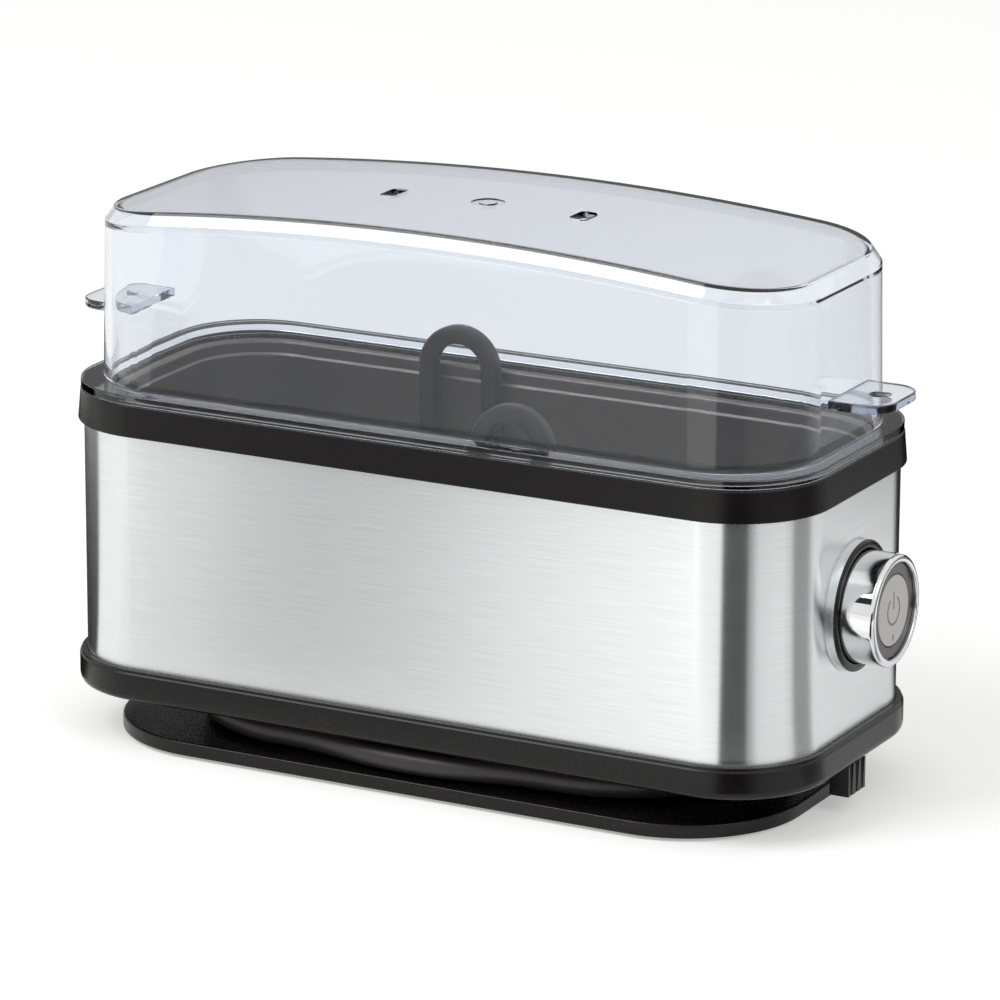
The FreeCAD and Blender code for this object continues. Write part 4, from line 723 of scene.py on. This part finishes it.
low, high = box("top_collar")
COLLAR = (BODY[0] + 2 * COLLAR_OVERHANG, BODY[1] + 2 * COLLAR_OVERHANG, BODY_CORNER + COLLAR_OVERHANG)
LID = (BODY[0] - 2 * LID_INSET[0], BODY[1] - 2 * LID_INSET[1], LID_CORNER)
collar_top = high.z
collar_bottom, ledge = collar_top - COLLAR_HEIGHT, collar_top - SEAT_DEPTH
groove_top = collar_bottom + GROOVE_DEPTH
collar_rings = lofted(COLLAR, [
    (-1.0, collar_bottom, 0), (0, collar_bottom, 0.35), (-COLLAR_TAPER, collar_top, COLLAR_EDGE),
    (-2.5, collar_top, 0)])
collar_rings += [ring(LID, LID_SEAT_GAP, level) for level in (collar_top, ledge)]
collar_rings += [ring(PAN_OPENING, 0, level) for level in (ledge, collar_bottom)]
collar_rings += [ring(BODY, out, level) for out, level in (
    (-STEEL_WALL - SEAT_SLACK, collar_bottom), (-STEEL_WALL - SEAT_SLACK, groove_top),
    (SEAT_SLACK, groove_top), (SEAT_SLACK, collar_bottom))]
top_collar = shell("top_collar_ring", collar_rings, closed=True)
fit(crisp(wear(top_collar, satin_black)), "base", "black_plastic", "top_collar")

# Pan gasket: a flat ring of grey silicone between the collar's ledge and the pan's rim.
# It is cut from moulded sheet and pinched when the pan's studs are tightened.
silicone = moulded("grey_silicone_sheet", "#b9b9b6", "#a8a8a5", 0.55, 1.5, 0.2)
wear(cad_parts["pan_gasket"], silicone)

# Boiling pan: drawn aluminium with a dark metallic non-stick coat, one step deep.
# Its rim hangs on the gasket above a fine bead, its step carries the rack, and studs pull its floor
# on the heater.
PAN_STEP_OUT, PAN_RIM_OUT, PAN_WALL, PAN_STEP_DEPTH, PAN_LOW_CORNER = 3.2, 5.4, 1.0, 18.4, 16.5
BEAD_DROP, BEAD_OUT = 3.2, 0.5

low, high = box("boiling_pan")
PAN_LOW = (high.x - low.x - 2 * PAN_RIM_OUT, high.y - low.y - 2 * PAN_RIM_OUT, PAN_LOW_CORNER)
pan_floor, step_level, rim_top = low.z + PAN_WALL, high.z - PAN_STEP_DEPTH, high.z
upper_in, lower_in = PAN_STEP_OUT - PAN_WALL, -PAN_WALL
boiling_pan = shell("coated_pan", lofted(PAN_LOW, [
    (-12.0, low.z, 0), (0, low.z, 3.5), (0, step_level - PAN_WALL, 0.5),
    (PAN_STEP_OUT, step_level - PAN_WALL, 1.2), (PAN_STEP_OUT, rim_top - PAN_WALL, 0.3),
    (PAN_RIM_OUT, rim_top - PAN_WALL, 0.2), (PAN_RIM_OUT, rim_top, 0.4),
    (upper_in + BEAD_OUT, rim_top, 0.8), (upper_in + BEAD_OUT, rim_top - BEAD_DROP, 0.2),
    (upper_in, rim_top - BEAD_DROP - BEAD_OUT, 0.2), (upper_in, step_level, 0.9), (lower_in, step_level, 0.8),
    (lower_in, pan_floor, 3.0), (-12.0, pan_floor, 0)]))

# The coat is an anthracite lacquer with metal flake, so it glitters a little and shades like soft metal.
FLAKE, COAT_CLOUD = 0.45, 9.0
pan_coat, tree = clear_material("anthracite_non_stick_coat")
place = add(tree, "ShaderNodeTexCoord").outputs["Object"]
cells = add(tree, "ShaderNodeTexVoronoi", {}, {"Vector": place, "Scale": 1 / (FLAKE * MM)})
flakes = cells.outputs["Distance"]
bump = add(tree, "ShaderNodeBump", {}, {"Strength": 0.06, "Distance": 0.02 * MM, "Height": flakes})
surface(tree, add(tree, "ShaderNodeBsdfPrincipled", {}, {
    "Base Color": blend(tree, flakes, "#7d7673", "#6d6664"), "Metallic": 0.7,
    "Roughness": between(tree, noise(tree, place, COAT_CLOUD, 3.0), 0.34, 0.46), "Normal": bump.outputs[0]}))
fit(crisp(wear(boiling_pan, pan_coat)), "base", "pan_coating", "boiling_pan")

# Rack: dark grey polypropylene plate with three wide bores, moulded flat.
# It lies loose on the pan's step and is lifted out by its loops.
RACK_CORNER, CUP_RADIUS, CUP_PITCH, CUP_LIP = 18.4, 17.0, 49.5, 0.7

low, high = box("egg_rack")
RACK = (high.x - low.x, high.y - low.y, RACK_CORNER)
rack = shell("rack_plate", lofted(RACK, [
    (-3.0, low.z, 0), (0, low.z, 0.3), (0, high.z, 0.6), (-3.0, high.z, 0)]))
for number in (-1, 0, 1):
    bore = turned("cup_bore", [
        (CUP_RADIUS, low.z - 1.0, 0), (CUP_RADIUS, high.z - CUP_LIP, 0.4),
        (CUP_RADIUS + CUP_LIP, high.z, 0.4), (CUP_RADIUS + CUP_LIP + 0.2, high.z + 1.0, 0)])
    bore.data.transform(Matrix.Translation(Vector((number * CUP_PITCH, 0, 0)) * MM))
    carve(rack, bore)

# Polypropylene has a waxy, low gloss and a soft moulded texture.
grey_polypropylene = moulded("dark_grey_polypropylene", "#28292b", "#212224", 0.45, 0.9, 0.12)
fit(crisp(wear(rack, grey_polypropylene)), "rack", "rack_grey", "egg_rack")

# Rack loops: two finger loops of the same grey polypropylene, with rounded edges.
# They are welded on the plate near its long sides, one at the front and one at the rear.
LOOP_BAR, LOOP_DEPTH, LOOP_EDGE, LOOP_OUTER, LOOP_ALONG, LOOP_STEPS = 4.6, 4.0, 1.0, 11.1, 23.7, 24
low, high = box("rack_loops")
LOOP_SPRING = high.z - LOOP_OUTER
loop_across = high.y - LOOP_DEPTH / 2
loop_path = [(-1.0, 0.0, low.z), (-1.0, 0.0, LOOP_SPRING)]
for step in range(1, LOOP_STEPS):
    angle = math.pi * step / LOOP_STEPS
    loop_path.append((-math.cos(angle), math.sin(angle), LOOP_SPRING))
loop_path += [(1.0, 0.0, LOOP_SPRING), (1.0, 0.0, low.z)]
bar_section = [
    (a * (LOOP_BAR / 2 - LOOP_EDGE) + LOOP_EDGE * math.cos(t),
     b * (LOOP_DEPTH / 2 - LOOP_EDGE) + LOOP_EDGE * math.sin(t))
    for quarter, (a, b) in enumerate(((1, 1), (-1, 1), (-1, -1), (1, -1)))
    for t in [math.pi / 2 * (quarter + k / 4) for k in range(5)]]
for side, name in ((1, "front_finger_loop"), (-1, "rear_finger_loop")):
    middle = LOOP_OUTER - LOOP_BAR / 2
    rings = [
        [(side * LOOP_ALONG + cosine * (middle + out), -side * loop_across + across,
          level + sine * (middle + out)) for out, across in bar_section]
        for cosine, sine, level in loop_path]
    fit(wear(shell(name, rings), grey_polypropylene), "rack", "rack_grey", "rack_loops")

# Button bezel: black ABS ring pushed into the shell's hole from outside, with a stepped lip.
# Its bore guides the push button.
BEZEL_LIP, BEZEL_BORE, BEZEL_STEP = 16.0, 14.0, 15.0
BEZEL_ROUND, BEZEL_GAP = 0.7, 0.05

low, high = box("button_bezel")
tail, stand = low.x - BODY[0] / 2, high.x - BODY[0] / 2
lip_foot = DRAWN_LIP[2] + BEZEL_GAP
bezel = turned("button_bezel_ring", [
    (BEZEL_BORE, tail, 0.2), (BEZEL_STEP, tail, 0.2), (BEZEL_STEP, lip_foot, 0),
    (BEZEL_LIP, lip_foot, 0.1), (BEZEL_LIP, stand - BEZEL_ROUND, 0.2),
    (BEZEL_LIP - BEZEL_ROUND, stand, BEZEL_ROUND), (BEZEL_BORE, stand, 0.3)], steps=96, closed=True)
along_button(bezel, BODY[0] / 2)
fit(crisp(wear(bezel, satin_black)), "base", "black_plastic", "button_bezel")

# Button cap: ABS barrel with bright chrome plate, hollow behind and recessed in front.
# It slides in the bezel, and its front rim is rounded over.
CAP_RADIUS, CAP_WALL, CAP_RIM, CAP_ROUND, CAP_WEB, RECESS_DEPTH = 13.7, 1.3, 1.9, 1.2, 1.5, 2.1

low, high = button_low, button_high
depth = high.x - low.x
recess, web = depth - RECESS_DEPTH, depth - RECESS_DEPTH - CAP_WEB
cap = turned("button_cap_barrel", [
    (0.4, web, 0), (CAP_RADIUS - CAP_WALL, web, 0.3), (CAP_RADIUS - CAP_WALL, 0, 0.2), (CAP_RADIUS, 0, 0.3),
    (CAP_RADIUS, depth, CAP_ROUND),
    (CAP_RADIUS - CAP_RIM, depth, 0.5), (CAP_RADIUS - CAP_RIM, recess, 0.1), (0.4, recess, 0)], steps=128)
along_button(cap, low.x)

# Chrome over ABS is a mirror with a cold tint, broken only by the faintest haze.
HAZE = 4.0
bright_chrome, tree = clear_material("bright_chrome_plate")
place = add(tree, "ShaderNodeTexCoord").outputs["Object"]
haze = noise(tree, place, HAZE, 3.0)
surface(tree, add(tree, "ShaderNodeBsdfPrincipled", {}, {
    "Base Color": blend(tree, haze, "#e3e5e6", "#d9dbdd"), "Metallic": 1.0,
    "Roughness": between(tree, haze, 0.03, 0.08)}))
fit(crisp(wear(cap, bright_chrome)), "button", "chrome", "button_cap")

# Light ring and face: a smoked polycarbonate ring that the lamp shines through, and a grey disc in it.
# Both are snapped into the cap's recess; the disc carries the printed power sign and an index tick.
RING_WIDTH, FACE_EDGE, FACE_SINK, PRINT_HEIGHT = 2.7, 0.25, 0.7, 0.04
SIGN_RADIUS, SIGN_STROKE, SIGN_GAP, SIGN_STEPS = 3.4, 0.5, math.radians(34), 48
SIGN_FOOT, SIGN_TOP = 0.3, 4.5
TICK_PLACE, TICK_LENGTH, TICK_WIDTH = -7.4, 1.3, 0.6

low, high = box("light_ring")
outer, thick = (high.z - low.z) / 2, high.x - low.x
ring_piece = turned("smoked_light_ring", [
    (outer - RING_WIDTH, 0, 0.1), (outer, 0, 0.1), (outer, thick, 0.2), (outer - RING_WIDTH, thick, 0.2)],
    steps=96, closed=True)
along_button(ring_piece, low.x - FACE_SINK)
smoked = moulded("smoked_polycarbonate", "#4a4444", "#3d3838", 0.28, 3.0, 0.05)
fit(crisp(wear(ring_piece, smoked)), "button", "smoked_ring", "light_ring")

low, high = box("button_face")
face_radius, face_thick = (high.z - low.z) / 2, high.x - low.x
face = turned("button_face_disc", [
    (0.4, 0, 0), (face_radius, 0, 0.1), (face_radius, face_thick, FACE_EDGE), (0.4, face_thick, 0)], steps=96)
along_button(face, low.x - FACE_SINK)
satin_grey = moulded("satin_grey_lacquer", "#c2c0bc", "#b9b7b3", 0.4, 0.5, 0.08)
fit(crisp(wear(face, satin_grey)), "button", "face_grey", "button_face")


def stroke(build, points, width, front):
    """A flat printed stroke of one width along points in the button's (across, up) plane."""
    edges = []
    for number, here in enumerate(points):
        before, after = points[max(number - 1, 0)], points[min(number + 1, len(points) - 1)]
        ahead = (after - before).normalized()
        side = Vector((-ahead.y, ahead.x)) * width / 2
        edges.append([build.verts.new(Vector((front + lift, spot.x, button_axis + spot.y)) * MM)
                      for lift in (0, PRINT_HEIGHT) for spot in (here - side, here + side)])
    for a, b in zip(edges, edges[1:]):
        for i, k in ((0, 1), (1, 3), (3, 2), (2, 0)):
            build.faces.new((a[i], a[k], b[k], b[i]))
    for end in (edges[0], edges[-1]):
        build.faces.new((end[0], end[1], end[3], end[2]))


build = bmesh.new()
print_front = high.x - FACE_SINK
sweep = 2 * math.pi - 2 * SIGN_GAP
angles = [math.pi / 2 + SIGN_GAP + sweep * step / SIGN_STEPS for step in range(SIGN_STEPS + 1)]
arc = [Vector((math.cos(a), math.sin(a))) * SIGN_RADIUS for a in angles]
stroke(build, arc, SIGN_STROKE, print_front)
stroke(build, [Vector((0, SIGN_FOOT)), Vector((0, SIGN_TOP))], SIGN_STROKE, print_front)
stroke(build, [Vector((0, TICK_PLACE)), Vector((0, TICK_PLACE + TICK_LENGTH))], TICK_WIDTH, print_front)
bmesh.ops.recalc_face_normals(build, faces=build.faces)
power_sign = linked("power_sign", build)
sign_ink = moulded("grey_pad_print_ink", "#7d7b78", "#737170", 0.5, 0.6, 0.1)
wear(power_sign, sign_ink)
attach(power_sign, "button")

# Return spring: five turns of steel wire round the stem, coiled on a mandrel.
# It stands between the lamp board and the cap's web, and shortens as the button is pressed.
WIRE, COIL_RADIUS, COIL_TURNS, SPRING_KEEP = 0.9, 5.2, 5.0, 0.82
low, high = box("button_spring")

tree, given, keys = node_group("coiled_wire", {
    "Turns": "Float", "Radius": "Float", "Length": "Float", "Wire": "Float", "Finish": "Material"})
spiral = add(tree, "GeometryNodeCurveSpiral", {}, {
    "Resolution": 32, "Rotations": given["Turns"], "Start Radius": given["Radius"],
    "End Radius": given["Radius"], "Height": given["Length"]})
half_wire = add(tree, "ShaderNodeMath", {"operation": "MULTIPLY"}, {0: given["Wire"], 1: 0.5})
round_wire = add(tree, "GeometryNodeCurvePrimitiveCircle", {}, {
    "Resolution": 12, "Radius": half_wire.outputs[0]})
wound = add(tree, "GeometryNodeCurveToMesh", {}, {
    "Curve": spiral.outputs[0], "Profile Curve": round_wire.outputs[0], "Fill Caps": True})
spring = grown("return_spring", bpy.data.meshes.new("coil_holder"), tree, wound, given, {
    keys["Turns"]: COIL_TURNS, keys["Radius"]: COIL_RADIUS * MM, keys["Wire"]: WIRE * MM,
    keys["Length"]: (high.x - low.x - WIRE) * MM, keys["Finish"]: spring_wire})
along_button(spring, low.x + WIRE / 2)
smooth(spring.data, 60)
fit(spring, "base", "spring_steel", "button_spring")
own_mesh(spring)

# Lid: clear styrene hood, moulded in one shot, with an arched top, a bevel round it and a flat flange.
# It drops into the collar's seat, is lifted by a dimpled tab at each end, and lets steam out by two slots.
# A shallow ring in the middle of its top is the mark of the mould's gate.
LID_WALL, LID_DRAFT, ARCH_RADIUS, BEVEL_IN, BEVEL_DROP = 1.8, math.tan(math.radians(1.0)), 760.0, 2.4, 3.1
FLANGE_CORNER, FLANGE_THICKNESS, FLANGE_OVERHANG, FLANGE_EDGE, SKIRT = 23.7, 2.3, 0.7, 0.3, 2.2
TAB_WIDTH, TAB_CORNER, TAB_THICKNESS, TAB_RISE, TAB_EDGE = 23.0, 7.0, 2.2, 15.9, 0.4
DIMPLE_RADIUS, DIMPLE_DEPTH, DIMPLE_FROM_TIP = 3.0, 1.0, 6.5
VENT_ALONG, VENT = 26.0, (4.6, 8.4, 1.6)
MARK_RADIUS, MARK_PIP, MARK_DEPTH = 4.2, 2.3, 0.45

low, high = box("lid")
skirt_bottom, lid_top = low.z, high.z
seat = skirt_bottom + SKIRT
FLANGE = (BODY[0] + 2 * FLANGE_OVERHANG, high.y - low.y, FLANGE_CORNER)
TABS = (high.x - low.x, TAB_WIDTH, TAB_CORNER)
tab_top = seat + TAB_RISE


def draft(level):
    """How far the wall has leaned in at a level."""
    return -(level - skirt_bottom) * LID_DRAFT


def arched(top, drop=0.0):
    """The arch's level along X, a little below its crown line."""
    return lambda x: top - drop - ARCH_RADIUS + math.sqrt(ARCH_RADIUS ** 2 - x ** 2)


def crown(outline, top):
    """Rings of the wall's top edge and the bevel above it, with both edges softened."""
    lean = draft(top - BEVEL_DROP)
    steps = ((0, BEVEL_DROP + 0.35), (-0.04, BEVEL_DROP + 0.1), (-0.2, BEVEL_DROP - 0.2),
             (-BEVEL_IN + 0.2, 0.25), (-BEVEL_IN, 0.08), (-BEVEL_IN - 0.3, 0.0))
    return [ring(outline, lean + out, arched(top, drop)) for out, drop in steps]


flange_top = seat + FLANGE_THICKNESS
hood = shell("clear_lid_hood", [ring(LID, 0, skirt_bottom), ring(LID, draft(seat), seat)] + lofted(FLANGE, [
    (-2.0, seat, 0), (0, seat, FLANGE_EDGE), (0, flange_top, FLANGE_EDGE), (-2.0, flange_top, 0)]) + [
        ring(LID, draft(flange_top) + 0.4, flange_top), ring(LID, draft(flange_top) + 0.1, flange_top + 0.1),
        ring(LID, draft(flange_top), flange_top + 0.4)] + crown(LID, lid_top), rungs=True)
LID_INSIDE = (LID[0] - 2 * LID_WALL, LID[1] - 2 * LID_WALL, LID_CORNER - LID_WALL)
hollow = shell("lid_hollow", [ring(LID_INSIDE, -draft(skirt_bottom + 1.0), skirt_bottom - 1.0)]
               + crown(LID_INSIDE, lid_top - LID_WALL), rungs=True)
tabs = shell("lid_tabs", lofted(TABS, [
    (-3.0, tab_top - TAB_THICKNESS, 0), (0, tab_top - TAB_THICKNESS, TAB_EDGE), (0, tab_top, TAB_EDGE),
    (-3.0, tab_top, 0)]))
carve(hood, tabs, "UNION")
carve(hood, hollow)
for side in (-1, 1):
    vent = shell("vent_tool", [ring(VENT, 0, level) for level in (lid_top - 8.0, lid_top + 4.0)])
    vent.data.transform(Matrix.Translation(Vector((side * VENT_ALONG, 0, 0)) * MM))
    carve(hood, vent)
    dimple = turned("dimple_tool", [
        (0.3, -DIMPLE_DEPTH, 0), (DIMPLE_RADIUS * 0.8, -DIMPLE_DEPTH * 0.6, 0.9), (DIMPLE_RADIUS, 0.3, 0.2),
        (DIMPLE_RADIUS * 1.2, 2.0, 0)], steps=48)
    dimple.data.transform(Matrix.Translation(Vector((side * (high.x - DIMPLE_FROM_TIP), 0, tab_top)) * MM))
    carve(hood, dimple)
mark = turned("gate_mark_tool", [
    (MARK_PIP, 1.0, 0), (MARK_PIP, -MARK_DEPTH, 0), (MARK_RADIUS, -MARK_DEPTH, 0), (MARK_RADIUS, 1.0, 0)],
    steps=48, closed=True)
mark.data.transform(Matrix.Translation(Vector((0, 0, lid_top)) * MM))
carve(hood, mark)

# Clear styrene: water clear with a cold tint that shows in its edges, and a slight moulding ripple.
RIPPLE = 18.0
clear_styrene, tree = clear_material("clear_styrene")
place = add(tree, "ShaderNodeTexCoord").outputs["Object"]
ripple = noise(tree, place, RIPPLE, 1.0)
bump = add(tree, "ShaderNodeBump", {}, {"Strength": 0.03, "Distance": 0.2 * MM, "Height": ripple})
clear = add(tree, "ShaderNodeBsdfPrincipled", {}, {
    "Base Color": linear("#fafcff"), "Transmission Weight": 1.0, "IOR": 1.57,
    "Roughness": between(tree, ripple, 0.0, 0.03), "Normal": bump.outputs[0]})
tint = add(tree, "ShaderNodeVolumeAbsorption", {}, {"Color": linear("#8fa6c0"), "Density": 45.0})
add(tree, "ShaderNodeOutputMaterial", {}, {"Surface": clear.outputs[0], "Volume": tint.outputs[0]})
fit(crisp(wear(hood, clear_styrene)), "lid", "clear_lid", "lid")
